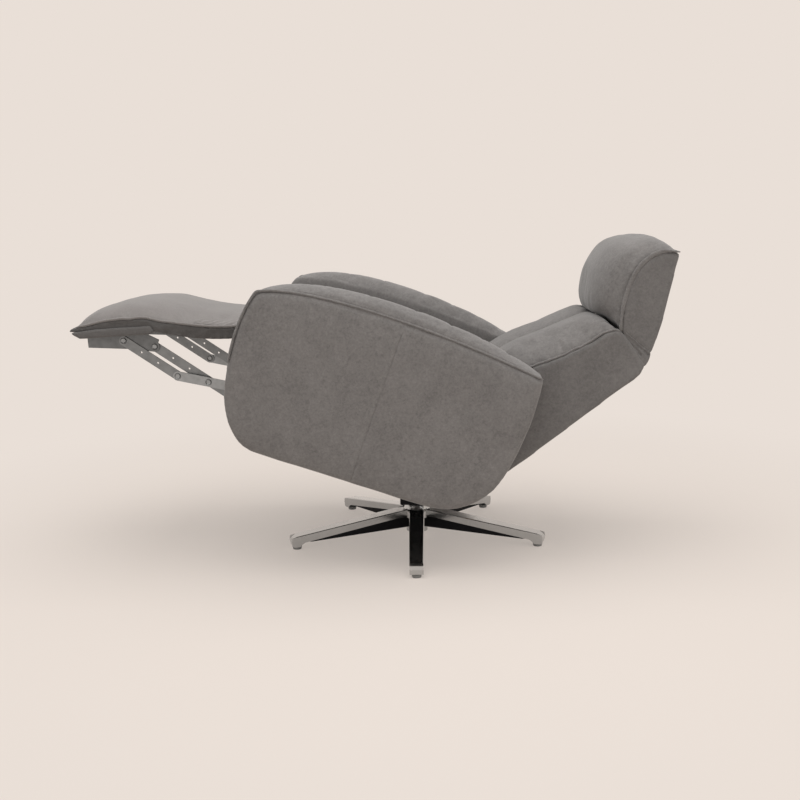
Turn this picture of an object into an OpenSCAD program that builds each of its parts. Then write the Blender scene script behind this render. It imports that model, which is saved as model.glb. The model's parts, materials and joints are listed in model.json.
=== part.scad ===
// Star base swivel recliner, laid back with its footrest out.
// The origin is on the floor at the swivel axis. The chair faces -X and +Z is up.
// Lengths are in millimetres and angles in degrees.

/* [Star base] */
// Radius of the circle that the glides stand on
glide_circle_r = 335; // [300:5:380]
// Width of an arm where it leaves the hub
star_root_w = 42; // [36:1:48]
// Width of an arm over its glide
star_tip_w = 34; // [28:1:40]
// Height of an arm's top at the hub
star_root_h = 82; // [76:1:88]
// Height of an arm's top over its glide
star_tip_h = 37; // [34:1:44]
// Depth of the polished rim of an arm
star_rim_h = 18; // [14:1:22]
// Width of the bevel along each side of an arm
star_bevel = 8; // [4:1:11]
// Diameter of the hub barrel
hub_d = 58; // [54:1:66]
// Height of the hub's top above the floor
hub_top = 94; // [90:1:98]
// Height of the hub's lower rim above the floor
hub_foot = 17; // [12:1:22]
// Diameter of a glide
glide_d = 26; // [22:1:30]
// Height of a glide
glide_h = 8; // [6:1:11]
// Turn of the base under the seat
base_turn = 2; // [-36:1:36]

/* [Swivel and tilt] */
// Diameter of the swivel column
column_d = 32; // [28:1:38]
// Width of the black column housing
housing_w = 86; // [80:1:100]
// Height of the tilt axis above the floor
tilt_z = 250; // [245:1:270]
// Backward tilt of the seat in the pose that is modelled
seat_tilt = 18.5; // [0:0.5:18.5]
// Diameter of the tilt pin
tilt_pin_d = 16; // [12:1:20]
// Width of the tilt yoke over its ears
yoke_w = 112; // [100:2:130]

/* [Arms] */
// Overall width of the chair over its arms
overall_w = 690; // [660:5:740]
// Thickness of an arm
arm_w = 100; // [90:1:110]
// Length of an arm
arm_l = 726; // [700:2:760]
// Height of an arm without its top pad
arm_h = 406; // [390:2:430]
// How far the arm reaches ahead of the tilt axis
arm_front = 494; // [480:2:510]
// How far the arm reaches below the tilt axis
arm_below = 57; // [50:1:64]
// Crown of the padded arm top at its middle
arm_crown = 33; // [20:1:45]
// Thickness of the timber arm panel
arm_panel_t = 18; // [12:1:22]

/* [Seat] */
// Height of the seat deck above the tilt axis at the front rail
deck_h = 150; // [144:1:160]
// Fall of the seat deck towards the back
deck_pitch = 4.2; // [3:0.1:5]
// How far the front rail stands ahead of the tilt axis
rail_front = 440; // [434:1:446]
// How far the rear rail stands behind the tilt axis
rail_rear = 100; // [94:1:104]
// Thickness of the seat rails
rail_t = 30; // [22:1:32]
// Height of the seat rails' lower edge above the tilt axis
rail_low = 70; // [68:1:74]
// Length of the seat cushion
cushion_l = 456; // [440:2:458]
// Height of the cushion's side at its front
cushion_front_h = 61; // [50:1:70]
// Height of the cushion's side at its back
cushion_rear_h = 45; // [36:1:52]
// Crown of the seat cushion
cushion_crown = 20; // [8:1:28]

/* [Footrest linkage] */
// How far the main pivot lies ahead of the tilt axis
main_pivot_x = 426; // [420:1:430]
// Height of the main pivot above the tilt axis
main_pivot_z = 50; // [46:1:52]
// Rise of the rear links towards the seat
rear_link_rise = 6.6; // [5:0.1:8]
// Fall of the front links towards the seat
front_link_fall = 15.6; // [14:0.1:17]
// Length of a rear link from the main pivot to the crossing
rear_link_l = 130; // [124:1:134]
// Spacing of the two front links
link_gap = 80; // [76:1:84]
// Length of a front link between its pivots
front_link_l = 163; // [156:1:168]
// Length of the upper link's tail past the crossing
link_tail = 58; // [50:1:62]
// Width of a link
link_w = 24; // [20:1:26]
// Thickness of a link
link_t = 3; // [2.5:0.1:3.2]
// Diameter of a pivot rivet
rivet_d = 8; // [6:0.5:9]
// Half the distance between the two linkages, at their outer faces
link_plane = 173; // [168:1:176]

/* [Footrest] */
// Gap between the footrest's side and the plane of an arm's inner face
footrest_gap = 10; // [6:1:16]
// Length of the footrest board
board_l = 177; // [168:1:186]
// Thickness of the footrest board
board_t = 15; // [12:1:18]
// Slope of the footrest board
board_pitch = 21.5; // [19:0.5:24]
// Crown of the footrest cushion
footrest_crown = 38; // [24:1:54]
// Thickness of the bridging calf pad at its sides
calf_t = 32; // [24:1:36]
// Crown of the bridging calf pad
calf_crown = 36; // [20:1:46]

/* [Back] */
// How far the recline axis lies behind the tilt axis
recline_x = 164; // [160:1:168]
// Height of the recline axis above the tilt axis
recline_z = 139; // [136:1:144]
// Lean of the back behind the upright of the seat
back_lean = 37.5; // [14:0.5:37.5]
// Gap between the back and an arm
back_gap = 7; // [5:1:12]
// Length of the back above the recline axis
back_l = 400; // [390:2:410]
// Depth of the back behind the recline axis at its foot
back_rear = 98; // [92:1:104]
// Thickness of the back's padded walls
back_wall = 12; // [8:1:14]
// Crown of the two back bolsters
bolster_crown = 59; // [40:1:68]

/* [Headrest] */
// Forward fold of the headrest against the back
head_fold = 40; // [5:1:40]
// How far the headrest's side lies inside the back's side
head_in = 3; // [0:1:8]
// Height of the headrest
head_h = 252; // [236:2:268]
// Crown of the headrest cushion
head_crown = 62; // [40:1:72]

/* [Hidden] */

$fn = 64;
// Steps of a half circle in a round-ended bar
arc_steps = 12;
// Overrun of every cut
cut = 1;
// Running clearance in a bore
run = 0.05;
// Gap between pieces that move past each other, and round soft pieces
gap = 0.3;

// Star base: angles, and sizes of the casting
star_arms = 5;
root_in = 8;
root_step = 1;
arm_drop = 4;
tip_margin = 4;
tip_ease = 4;
tip_nose = 6;
tip_brow = 14;
tip_under = 3;
tip_lift = 2;
star_in = hub_d / 2 - root_in;
star_tip_r = glide_circle_r + glide_d / 2 + tip_margin;
star_curl = 22;
glide_taper = 4;
glide_short = 1;
web_root_w = 26;
web_tip_w = 16;
web_rise = 14;
web_tip_rise = 9;
web_bite = 4;
web_seat = 2;
web_root_z = hub_foot + web_rise;
web_tip_z = glide_h + web_tip_rise;
web_root_in = hub_d / 2 - web_bite;
web_end_r = glide_circle_r - glide_d / 2 - tip_margin;
hub_flare = 10;
hub_collar_drop = 6;
bearing_h = 6;
bearing_rim = 10;
bearing_d = column_d + 2 * bearing_rim;
column_foot = 4;

// Tilt mechanism
yoke_drop = 52;
yoke_plate_t = 8;
yoke_plate_l = 100;
ear_t = 6;
pin_head_rim = 4;
ear_r = 18;
cheek_t = 6;
cheek_l = 150;
cheek_low = 14;
cheek_high = 42;
cross_x = 55;
cross_w = 30;
cross_h = 20;
cross_low = 15;
housing_wall = 3;
housing_r = 10;
housing_gap = 4;
housing_low = hub_top + housing_gap;
collar_h = 7;

// Seat frame
seat_w = overall_w - 2 * arm_w;
plate_t = 4;
plate_in = link_plane + gap;
plate_low = 25;
plate_nose = 22;
plate_set = 8;
plate_ease = 2;
flange_gap = 2;
plate_rear = rail_rear - plate_set;
cross_slim = 5;
flange_in = 20;
rail_lift = 4;
strap_t = 2;
strap_w = 50;
strap_edge = 5;
strap_share = [-0.58, -0.2, 0.2, 0.58];
cross_strap_share = [0.2, 0.45, 0.7];
cushion_front = 8;
// Columns across a padded piece, and how far its sides draw in between its ends
pad_columns = 14;
pad_draw = 3;
calf_sag = 14;
calf_lift = 17;
pad_edge = 2;
pad_inset = 2;
pad_crown_shares = [
    [0, 0], [0.1, 0.1], [0.2, 0.28], [0.31, 0.56], [0.42, 0.76], [0.55, 0.88],
    [0.65, 0.92], [0.74, 0.89], [0.83, 0.79], [0.91, 0.56], [0.97, 0.24], [1, 0]
];

// Linkage: the layers that the links lie in, counted inwards
layer = link_t + gap;
hole_share = [0.33, 0.63];
hole_d = 5;
head_rim = 3.5;
head_d = rivet_d + 2 * head_rim;
head_t = 2.4;
tube_d = 20;
tube_wall = 2;
tube_r = 45;
tube_turn = -70;
plate_pin_gap = 2;

// Footrest: where the board lies on the brackets
board_back = 4;
board_up = 40;
bracket_front = 5;
bracket_toe = 30;
bracket_heel = 40;
bracket_eye = 13;
bracket_ease = 9;
bracket_step = 17;
bracket_slope = 25;
footrest_w = seat_w - 2 * footrest_gap;
footrest_slim = 4;
board_in = 10;
tip_over = 23;

// Back and headrest
back_w = seat_w - 2 * back_gap;
head_w = back_w - 2 * head_in;
back_draw = 2;
back_columns = 20;
head_columns = 16;
back_edge = 4;
head_draw = 1;
head_edge = 3;
rear_taper = 0.0525;
upright_t = 30;
upright_d = 45;
rail_u = 30;
hinge_pin_d = 12;
hinge_arm_t = 5;
hinge_arm_l = 160;
hinge_eye = 18;
hinge_foot = 20;
hinge_margin = 8;
strap_short = 4;
head_pin_d = 8;
head_pivot_rise = 12;
head_pivot_u = back_l + head_pivot_rise;
head_pivot_n = 45;
head_hinge_y = 92;
leaf_t = 6;
leaf_r = 9;
leaf_shift = 2;
leaf_foot_gap = 2;
notch_margin = 4;
notch_front = 30;
notch_ease = 3;
gusset_in = 4;
gusset_gap = 5;
head_board_t = 12;
head_board_in = 33;
head_board_front = 4;

// Shares of an arm's length and height that shape its side, as the ends and handles of curves
arm_side_shares = [
    [[0.027, 0.906], [0.084, 0.985], [0.423, 1.064], [0.992, 0.926]],
    [[0.992, 0.926], [1.006, 0.707], [0.997, 0.411], [0.963, 0.252]],
    [[0.963, 0.252], [0.942, 0.15], [0.866, 0], [0.766, 0]],
    [[0.766, 0], [0.6, 0], [0.3, 0], [0.157, 0]],
    [[0.157, 0], [0.089, 0], [0.038, 0.155], [0.021, 0.261]],
    [[0.021, 0.261], [-0.006, 0.485], [-0.012, 0.73], [0.027, 0.906]]
];
arm_steps = [18, 8, 8, 1, 8, 10];

// A small step along a curve, to find its direction
nudge = 0.01;

// A point of a cubic curve, and such a curve in steps without its last point
function curve_at(c, t) =
    pow(1 - t, 3) * c[0] + 3 * pow(1 - t, 2) * t * c[1] + 3 * (1 - t) * t * t * c[2] + pow(t, 3) * c[3];
function curve(c, steps) = [for (i = [0:steps - 1]) curve_at(c, i / steps)];
function unshare(p, origin, size) = [origin[0] + p[0] * size[0], origin[1] + p[1] * size[1]];
function polar(r, a) = r * [cos(a), sin(a)];
function mix(a, b, t) = a + (b - a) * t;

arm_origin = [-arm_front, -arm_below];
arm_size = [arm_l, arm_h];
arm_side = [for (k = [0:5]) each [
    for (p = curve(arm_side_shares[k], arm_steps[k])) unshare(p, arm_origin, arm_size)
]];
arm_centre = arm_origin + arm_size / 2;
arm_panel_share = 0.86;
arm_window_share = 0.62;

// Pivots of the linkage in the frame of the seat
main_pivot = [-main_pivot_x, main_pivot_z];
crossing = main_pivot - polar(rear_link_l, rear_link_rise);
lower_rear = crossing - polar(link_gap, rear_link_rise);
upper_front = crossing - polar(front_link_l, -front_link_fall);
lower_front = upper_front - polar(link_gap, rear_link_rise);
tail_end = crossing + polar(link_tail, -front_link_fall);
tube_at = main_pivot + polar(tube_r, tube_turn);

function deck_z(x) = deck_h - (x + rail_front) * tan(deck_pitch);
function layer_y(k) = link_plane - k * layer;

// Places: the seat tilts on the base, the back and headrest lean on it
module in_seat() {
    translate([0, 0, tilt_z])
        rotate([0, seat_tilt, 0])
            children();
}
module in_deck() {
    in_seat()
        translate([-rail_front, 0, deck_h])
            rotate([0, deck_pitch, 0])
                children();
}
module in_board() {
    in_seat()
        translate([upper_front[0] - board_back, 0, upper_front[1] + board_up])
            rotate([0, -board_pitch, 0])
                children();
}
// In the back, x runs up along it and z points forwards out of its cushion
module in_back() {
    in_seat()
        translate([recline_x, 0, recline_z])
            rotate([0, back_lean - 90, 0])
                children();
}
// In the headrest, z runs up along it and x points backwards
module in_head() {
    in_back()
        translate([head_pivot_u, 0, -head_pivot_n])
            rotate([0, 90 - head_fold, 0])
                children();
}

// A flat shape in x and z, as thick as t, from y outwards on the side that s names
module side_slab(s, y, t) {
    scale_y = s > 0 ? y : -y - t;
    translate([0, scale_y + t, 0])
        rotate([90, 0, 0])
            linear_extrude(t)
                children();
}
module at_both() {
    for (s = [-1, 1])
        side_pin(s) children();
}
module side_pin(s) {
    mirror([0, s > 0 ? 0 : 1, 0])
        children();
}
// A shaft along y at a point, from y0 to y1
module shaft(p, d, y0, y1) {
    translate([p[0], y1, p[1]])
        rotate([90, 0, 0])
            cylinder(h = y1 - y0, d = d);
}
// A bar with round ends from p to q, and one that bends at m
function heading(p, q) = atan2(q[1] - p[1], q[0] - p[0]);
function arc(c, r, a0, a1) = [for (i = [0:arc_steps]) c + polar(r, mix(a0, a1, i / arc_steps))];
module bar(p, q, w) {
    h = heading(p, q);
    polygon(concat(arc(q, w / 2, h - 90, h + 90), arc(p, w / 2, h + 90, h + 270)));
}
module bent_bar(p, m, q, w) {
    h = heading(p, m);
    k = heading(m, q);
    polygon(concat(
        arc(q, w / 2, k - 90, k + 90), arc(m, w / 2, k + 90, h + 90), arc(p, w / 2, h + 90, h + 270),
        [m + polar(w / 2 / cos((h - k) / 2), (h + k) / 2 - 90)]
    ));
}
module hole(p, d) {
    translate(p)
        circle(d = d);
}

// A padded piece on ribs. A rib is [x, z, lean, edge height, crown height]. Between the sides y0
// and y1 the top follows the crown, in one swell or two with a valley, and draws in at the ends.
function swell(v, lobes) =
    let (t = abs(2 * v - 1), w = lobes == 2 ? abs(2 * t - 1) : t)
    lobes == 2
        ? (t < 0.5 ? mix(0.6, 1, sqrt(1 - w * w)) : sqrt(1 - pow(w, 3)))
        : sqrt(1 - pow(w, 3));
function rib_top(r, y, v, lobes) =
    let (h = r[3] + r[4] * swell(v, lobes)) [r[0] + h * sin(r[2]), y, r[1] + h * cos(r[2])];
module padded(ribs, y0, y1, across, lobes = 1, draw = 0) {
    n = len(ribs) - 1;
    row = across + 1;
    top = [
        for (i = [0:n], j = [0:across])
            let (v = j / across, pull = draw * sin(180 * i / n))
                rib_top(ribs[i], mix(y0 + pull, y1 - pull, v), v, lobes)
    ];
    foot = [
        for (i = [0:n], e = [0, 1])
            let (pull = draw * sin(180 * i / n))
                [ribs[i][0], mix(y0 + pull, y1 - pull, e), ribs[i][1]]
    ];
    base = (n + 1) * row;
    skin = [
        for (i = [0:n - 1], j = [0:across - 1])
            let (a = i * row + j)
                each [[a, a + 1, a + row + 1], [a, a + row + 1, a + row]]
    ];
    walls = [
        for (i = [0:n - 1])
            let (l = base + 2 * i, a = i * row, b = i * row + across)
                each [
                    [a, a + row, l + 2], [a, l + 2, l], [b, l + 3, b + row], [b, l + 1, l + 3],
                    [l, l + 2, l + 3], [l, l + 3, l + 1]
                ]
    ];
    ends = [
        for (j = [0:across - 1])
            each [
                [base, j + 1, j],
                [base + 2 * n, n * row + j, n * row + j + 1]
            ]
    ];
    caps = [[base, base + 1, across], [base + 2 * n, n * row + across, base + 2 * n + 1]];
    polyhedron(concat(top, foot), concat(skin, walls, ends, caps), convexity = 6);
}

// Star base
module star_arm_side() {
    polygon([
        [star_in, star_root_h - star_rim_h - root_step], [star_in, star_root_h - root_step],
        [hub_d, star_root_h - arm_drop], [glide_circle_r, star_tip_h],
        [star_tip_r - tip_ease, star_tip_h - tip_nose], [star_tip_r, star_tip_h - tip_brow],
        [star_tip_r - tip_under, glide_h + tip_lift], [star_tip_r - 2 * tip_ease, glide_h],
        [star_tip_r - star_curl, glide_h], [star_tip_r - star_curl - tip_nose, glide_h + tip_nose],
        [star_tip_r - star_curl - tip_brow, star_tip_h - star_rim_h],
        [hub_d, star_root_h - star_rim_h - arm_drop]
    ]);
}
module star_arm_plan(root, tip, r) {
    polygon([[0, -root / 2], [r, -tip / 2], [r, tip / 2], [0, root / 2]]);
}
module star_arm() {
    fall = atan((star_root_h - arm_drop - star_tip_h) / (glide_circle_r - hub_d));
    taper = atan((star_root_w - star_tip_w) / 2 / star_tip_r);
    difference() {
        intersection() {
            rotate([90, 0, 0])
                translate([0, 0, -star_root_w])
                    linear_extrude(2 * star_root_w)
                        star_arm_side();
            linear_extrude(star_root_h + cut)
                star_arm_plan(star_root_w, star_tip_w, star_tip_r + cut);
        }
        for (s = [-1, 1])
            side_pin(s)
                translate([0, star_root_w / 2, star_root_h + hub_d * tan(fall) - arm_drop])
                    rotate([0, fall, -taper])
                        translate([0, 0, -star_bevel])
                            rotate([45, 0, 0])
                                translate([0, 0, -star_bevel])
                                    cube([star_tip_r + star_rim_h, 2 * star_bevel, 4 * star_bevel]);
    }
}
module each_arm() {
    for (k = [0:star_arms - 1])
        rotate(base_turn - 90 + k * 360 / star_arms)
            children();
}
module hub_body() {
    rotate_extrude()
        polygon([
            [0, hub_foot], [hub_d / 2, hub_foot],
            [hub_d / 2, star_root_h - 2 * star_rim_h],
            [hub_d / 2 + hub_flare, star_root_h - star_rim_h - hub_collar_drop],
            [hub_d / 2 + hub_flare, star_root_h - hub_collar_drop], [hub_d / 2 + hub_flare / 2, star_root_h],
            [hub_d / 2, hub_top], [0, hub_top]
        ]);
}
module star_base() {
    color("silver")
        difference() {
            union() {
                each_arm()
                    star_arm();
                hub_body();
            }
            translate([0, 0, hub_foot - cut])
                cylinder(h = hub_top - hub_foot + 2 * cut, d = column_d + 2 * run);
            each_arm()
                translate([glide_circle_r, 0, 0])
                    cylinder(h = glide_h + glide_h, d = rivet_d);
        }
}
module base_webs() {
    color("black")
        difference() {
            each_arm()
                intersection() {
                    rotate([90, 0, 0])
                        translate([0, 0, -web_root_w])
                            linear_extrude(2 * web_root_w)
                                polygon([
                                    [web_root_in, web_root_z], [web_end_r - star_curl, web_tip_z],
                                    [web_end_r - tip_nose, star_tip_h - star_rim_h],
                                    [hub_d, star_root_h - star_rim_h - arm_drop],
                                    [web_root_in, star_root_h - star_rim_h - web_seat]
                                ]);
                    linear_extrude(star_root_h)
                        star_arm_plan(web_root_w, web_tip_w, star_tip_r);
                }
            hub_body();
        }
}
module glides() {
    color("dimgray")
        each_arm()
            translate([glide_circle_r, 0, 0])
                union() {
                    cylinder(h = glide_h, d1 = glide_d - glide_taper, d2 = glide_d);
                    cylinder(h = 2 * glide_h - glide_short, d = rivet_d);
                }
}
module thrust_bearing() {
    color("gray")
        translate([0, 0, hub_top])
            difference() {
                cylinder(h = bearing_h, d = bearing_d);
                translate([0, 0, -cut])
                    cylinder(h = bearing_h + 2 * cut, d = column_d + 2 * run);
            }
}

// Swivel and tilt
module swivel_column() {
    color("gray") {
        translate([0, 0, hub_foot + column_foot])
            cylinder(h = tilt_z - yoke_drop - yoke_plate_t - hub_foot - column_foot, d = column_d);
        translate([0, 0, hub_top + bearing_h + gap / 2])
            cylinder(h = collar_h, d = bearing_d);
    }
}
module rounded_square(w, r) {
    for (x = [-1, 1], y = [-1, 1])
        translate([x, y] * (w / 2 - r))
            circle(r = r);
    square([w, w - 2 * r], center = true);
    square([w - 2 * r, w], center = true);
}
module column_housing() {
    color("black")
        translate([0, 0, housing_low])
            linear_extrude(tilt_z - yoke_drop - yoke_plate_t - housing_low)
                difference() {
                    rounded_square(housing_w, housing_r);
                    rounded_square(housing_w - 2 * housing_wall, housing_r - housing_wall);
                }
}
module tilt_yoke() {
    color("dimgray")
        translate([0, 0, tilt_z]) {
            translate([-yoke_plate_l / 2, -yoke_w / 2, -yoke_drop - yoke_plate_t])
                cube([yoke_plate_l, yoke_w, yoke_plate_t]);
            for (s = [-1, 1])
                side_slab(s, yoke_w / 2 - ear_t, ear_t)
                    difference() {
                        union() {
                            polygon([
                                [-yoke_plate_l / 2, -yoke_drop - cut], [yoke_plate_l / 2, -yoke_drop - cut],
                                [ear_r, 0], [-ear_r, 0]
                            ]);
                            circle(r = ear_r);
                        }
                        circle(d = tilt_pin_d);
                    }
        }
}
module tilt_pin() {
    end = yoke_w / 2 + cheek_t + 2 * plate_pin_gap;
    color("silver")
        translate([0, 0, tilt_z]) {
            shaft([0, 0], tilt_pin_d, -end, end);
            for (s = [-1, 1])
                side_pin(s)
                    shaft([0, 0], tilt_pin_d + 2 * pin_head_rim, end, end + head_t);
        }
}
module tilt_cradle() {
    cheek_in = yoke_w / 2 + plate_pin_gap;
    color("dimgray")
        in_seat()
            difference() {
                union() {
                    for (s = [-1, 1])
                        side_slab(s, cheek_in, cheek_t)
                            polygon([
                                [-cheek_l / 2, cross_low], [-cheek_l / 2, cheek_high],
                                [cheek_l / 2, cheek_high], [cheek_l / 2, cross_low],
                                [tilt_pin_d, -cheek_low], [-tilt_pin_d, -cheek_low]
                            ]);
                    for (x = [-cross_x, cross_x])
                        translate([x - cross_w / 2, -plate_in, cross_low])
                            cube([cross_w, 2 * plate_in, cross_h]);
                }
                shaft([0, 0], tilt_pin_d + 2 * run, -yoke_w, yoke_w);
            }
}

// Seat frame
module mechanism_plate(s) {
    color("silver")
        in_seat() {
            side_slab(s, plate_in, plate_t)
                difference() {
                    union() {
                        polygon([
                            [-main_pivot_x, main_pivot_z - plate_nose], [-rail_front / 2, -plate_low],
                            [plate_rear, -plate_low], [plate_rear, rail_low],
                            [-main_pivot_x + plate_nose, rail_low], [-main_pivot_x, main_pivot_z + link_w / 2]
                        ]);
                        hole(main_pivot, 2 * plate_nose - 2 * plate_ease);
                    }
                    hole(main_pivot, rivet_d);
                }
            side_slab(s, plate_in + plate_t, seat_w / 2 - plate_in - plate_t - flange_gap)
                polygon([
                    [-rail_front + flange_in, rail_low - plate_t], [plate_rear, rail_low - plate_t],
                    [plate_rear, rail_low], [-rail_front + flange_in, rail_low]
                ]);
        }
}
module seat_rail(s) {
    color("burlywood")
        in_seat()
            side_slab(s, seat_w / 2 - rail_t, rail_t)
                polygon([
                    [-rail_front, rail_low], [rail_rear, rail_low], [rail_rear, deck_z(rail_rear)],
                    [-rail_front, deck_z(-rail_front)]
                ]);
}
module cross_rail(x, w) {
    color("burlywood")
        in_seat()
            translate([0, w / 2, 0])
                rotate([90, 0, 0])
                    linear_extrude(w)
                        polygon([
                            [x, rail_low + rail_lift], [x + rail_t - cross_slim, rail_low + rail_lift],
                            [x + rail_t - cross_slim, deck_z(x + rail_t - cross_slim)], [x, deck_z(x)]
                        ]);
}
module seat_webbing() {
    l = (rail_front + rail_rear) / cos(deck_pitch);
    reach = seat_w / 2 - strap_edge;
    color("dimgray")
        in_deck() {
            for (k = strap_share)
                translate([0, k * reach - strap_w / 2, 0])
                    cube([l, strap_w, strap_t]);
            for (k = cross_strap_share)
                translate([k * l - strap_w / 2, -reach, strap_t])
                    cube([strap_w, 2 * reach, strap_t]);
        }
}
module seat_cushion() {
    half = seat_w / 2 - gap;
    steps = 12;
    ribs = [
        for (i = [0:steps])
            let (t = i / steps, round_end = sqrt(1 - pow(abs(2 * t - 1), 8)))
                [
                    -cushion_front + t * cushion_l, 2 * strap_t + gap, 0,
                    mix(cushion_front_h, cushion_rear_h, t) * mix(0.9, 1, round_end), cushion_crown * round_end
                ]
    ];
    color("dimgray")
        in_deck()
            padded(ribs, -half, half, pad_columns);
}
function from_board(p) =
    upper_front + [-board_back, board_up]
    + [p[0] * cos(board_pitch) - p[1] * sin(board_pitch), p[1] * cos(board_pitch) + p[0] * sin(board_pitch)];
// The calf pad bridges from the footrest to the front of the seat cushion
module calf_pad() {
    steps = 10;
    start = from_board([gap, board_t / 2]);
    end = [-rail_front - cushion_front - gap, deck_h + cushion_front_h / 2 + calf_lift];
    ribs = [
        for (i = [0:steps])
            let (t = i / steps, sag = calf_sag * sin(180 * t))
                [
                    mix(start[0], end[0], t), mix(start[1], end[1], t) - sag, -board_pitch * pow(1 - t, 3),
                    calf_t, calf_crown * mix(1, 0.62, t)
                ]
    ];
    color("dimgray")
        in_seat()
            padded(ribs, -footrest_w / 2, footrest_w / 2, pad_columns, 1, pad_draw);
}

// Arms: a timber panel with a window lies in the outer cover, and the inner cover closes it
module arm_side_shape(share) {
    polygon([for (p = arm_side) arm_centre + share * (p - arm_centre)]);
}
module arm_panel(s) {
    color("burlywood")
        in_seat()
            side_slab(s, seat_w / 2 + (arm_w - arm_panel_t) / 2, arm_panel_t)
                difference() {
                    arm_side_shape(arm_panel_share);
                    arm_side_shape(arm_window_share);
                }
}
module arm_outer_cover(s) {
    depth = (arm_w - arm_panel_t) / 2;
    color("dimgray")
        in_seat()
            difference() {
                side_slab(s, seat_w / 2 + depth, depth + arm_panel_t)
                    arm_side_shape(1);
                side_slab(s, seat_w / 2 + depth - cut, arm_panel_t + cut)
                    arm_side_shape(arm_panel_share);
            }
}
module arm_inner_cover(s) {
    color("dimgray")
        in_seat()
            side_slab(s, seat_w / 2, (arm_w - arm_panel_t) / 2)
                arm_side_shape(1);
}
module arm_top_pad(s) {
    steps = arm_steps[0];
    ribs = [
        for (i = [0:steps])
            let (
                t = i / steps,
                p = unshare(curve_at(arm_side_shares[0], t), arm_origin, arm_size),
                q = unshare(curve_at(arm_side_shares[0], t + nudge), arm_origin, arm_size) - p
            )
                [p[0], p[1] + gap, -atan2(q[1], q[0]), pad_edge, arm_crown * lookup(t, pad_crown_shares)]
    ];
    color("gray")
        in_seat()
            side_pin(s)
                padded(ribs, seat_w / 2 + pad_inset, overall_w / 2 - pad_inset, pad_columns / 2 + 1);
}

// Recline hinges
module recline_plates() {
    color("silver")
        in_seat()
            for (s = [-1, 1])
                side_slab(s, seat_w / 2 - rail_t - hinge_arm_t, hinge_arm_t)
                    difference() {
                        union() {
                            polygon([
                                [hinge_foot, rail_low + rail_lift], [rail_rear - rail_t, rail_low + rail_lift],
                                [recline_x + hinge_eye / 2, recline_z - hinge_eye],
                                [recline_x - hinge_eye / 2, recline_z + hinge_eye],
                                [hinge_foot, deck_z(hinge_foot) - rail_lift]
                            ]);
                            hole([recline_x, recline_z], 2 * hinge_eye);
                        }
                        hole([recline_x, recline_z], hinge_pin_d);
                    }
}
module recline_pins() {
    out = seat_w / 2 - rail_t;
    color("silver")
        in_seat()
            at_both() {
                shaft([recline_x, recline_z], hinge_pin_d, out - 2 * hinge_arm_t - 2 * gap, out);
                shaft([recline_x, recline_z], hinge_pin_d + 2 * pin_head_rim, out, out + head_t);
            }
}
module main_pivots() {
    color("silver")
        in_seat()
            at_both() {
                shaft(main_pivot, rivet_d, layer_y(1) - gap, plate_in + plate_t);
                shaft(main_pivot, head_d, plate_in + plate_t, plate_in + plate_t + head_t);
                shaft(main_pivot, head_d, layer_y(1) - gap - head_t, layer_y(1) - gap);
            }
}

// Footrest linkage
module link_plate(s, k) {
    side_slab(s, layer_y(k) - link_t, link_t)
        children();
}
module rear_link(s) {
    color("silver")
        in_seat()
            link_plate(s, 0)
                difference() {
                    bent_bar(lower_rear, main_pivot, tube_at, link_w);
                    hole(lower_rear, rivet_d);
                    hole(crossing, rivet_d);
                    hole(main_pivot, rivet_d + 2 * run);
                    hole(tube_at, tube_d);
                }
}
module rear_link_rivets() {
    color("silver")
        in_seat()
            at_both() {
                shaft(lower_rear, rivet_d, layer_y(2) - gap / 2, layer_y(0));
                shaft(lower_rear, head_d, layer_y(2) - gap / 2 - head_t, layer_y(2) - gap / 2);
                shaft(crossing, rivet_d, layer_y(4) - gap / 2, layer_y(0));
                shaft(crossing, head_d, layer_y(3) + gap, layer_y(1));
                shaft(crossing, head_d, layer_y(4) - gap / 2 - head_t, layer_y(4) - gap / 2);
                for (p = [lower_rear, crossing])
                    shaft(p, head_d, layer_y(0), layer_y(0) + head_t);
            }
}
module cross_tube() {
    color("silver")
        in_seat()
            difference() {
                shaft(tube_at, tube_d, -layer_y(0), layer_y(0));
                shaft(tube_at, tube_d - 2 * tube_wall, -layer_y(0) - cut, layer_y(0) + cut);
            }
}
module link_holes(p, q) {
    for (k = hole_share)
        hole(mix(p, q, k), hole_d);
}
module lower_link(s) {
    color("silver")
        in_seat()
            link_plate(s, 1)
                difference() {
                    bar(lower_front, lower_rear, link_w);
                    hole(lower_front, rivet_d + 2 * run);
                    hole(lower_rear, rivet_d + 2 * run);
                    link_holes(lower_front, lower_rear);
                }
}
module upper_link(s) {
    color("silver")
        in_seat()
            link_plate(s, 3)
                difference() {
                    bar(upper_front, tail_end, link_w);
                    hole(upper_front, rivet_d + 2 * run);
                    hole(crossing, rivet_d + 2 * run);
                    hole(tail_end, rivet_d);
                    link_holes(upper_front, crossing);
                }
}

// Footrest
function to_board(p) =
    let (q = p - upper_front + [board_back, -board_up])
        [q[0] * cos(board_pitch) + q[1] * sin(board_pitch), q[1] * cos(board_pitch) - q[0] * sin(board_pitch)];
module footrest_bracket(s) {
    a = to_board(lower_front);
    b = to_board(upper_front);
    color("silver")
        in_board() {
            link_plate(s, 2)
                difference() {
                    union() {
                        polygon([
                            [-board_l - bracket_front, 0], [-board_l - bracket_front, -bracket_toe],
                            [a[0] + bracket_ease, -bracket_heel], [b[0], b[1] - bracket_eye],
                            [b[0] + bracket_eye, b[1] + bracket_step], [b[0] - bracket_slope, 0]
                        ]);
                        hole(b, 2 * bracket_eye);
                    }
                    hole(a, rivet_d);
                    hole(b, rivet_d);
                }
            side_slab(s, layer_y(3) - board_up, board_up + gap)
                polygon([
                    [-board_l - bracket_front, 0], [-board_l - bracket_front, -link_t],
                    [b[0], -link_t], [b[0], 0]
                ]);
        }
}
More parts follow.
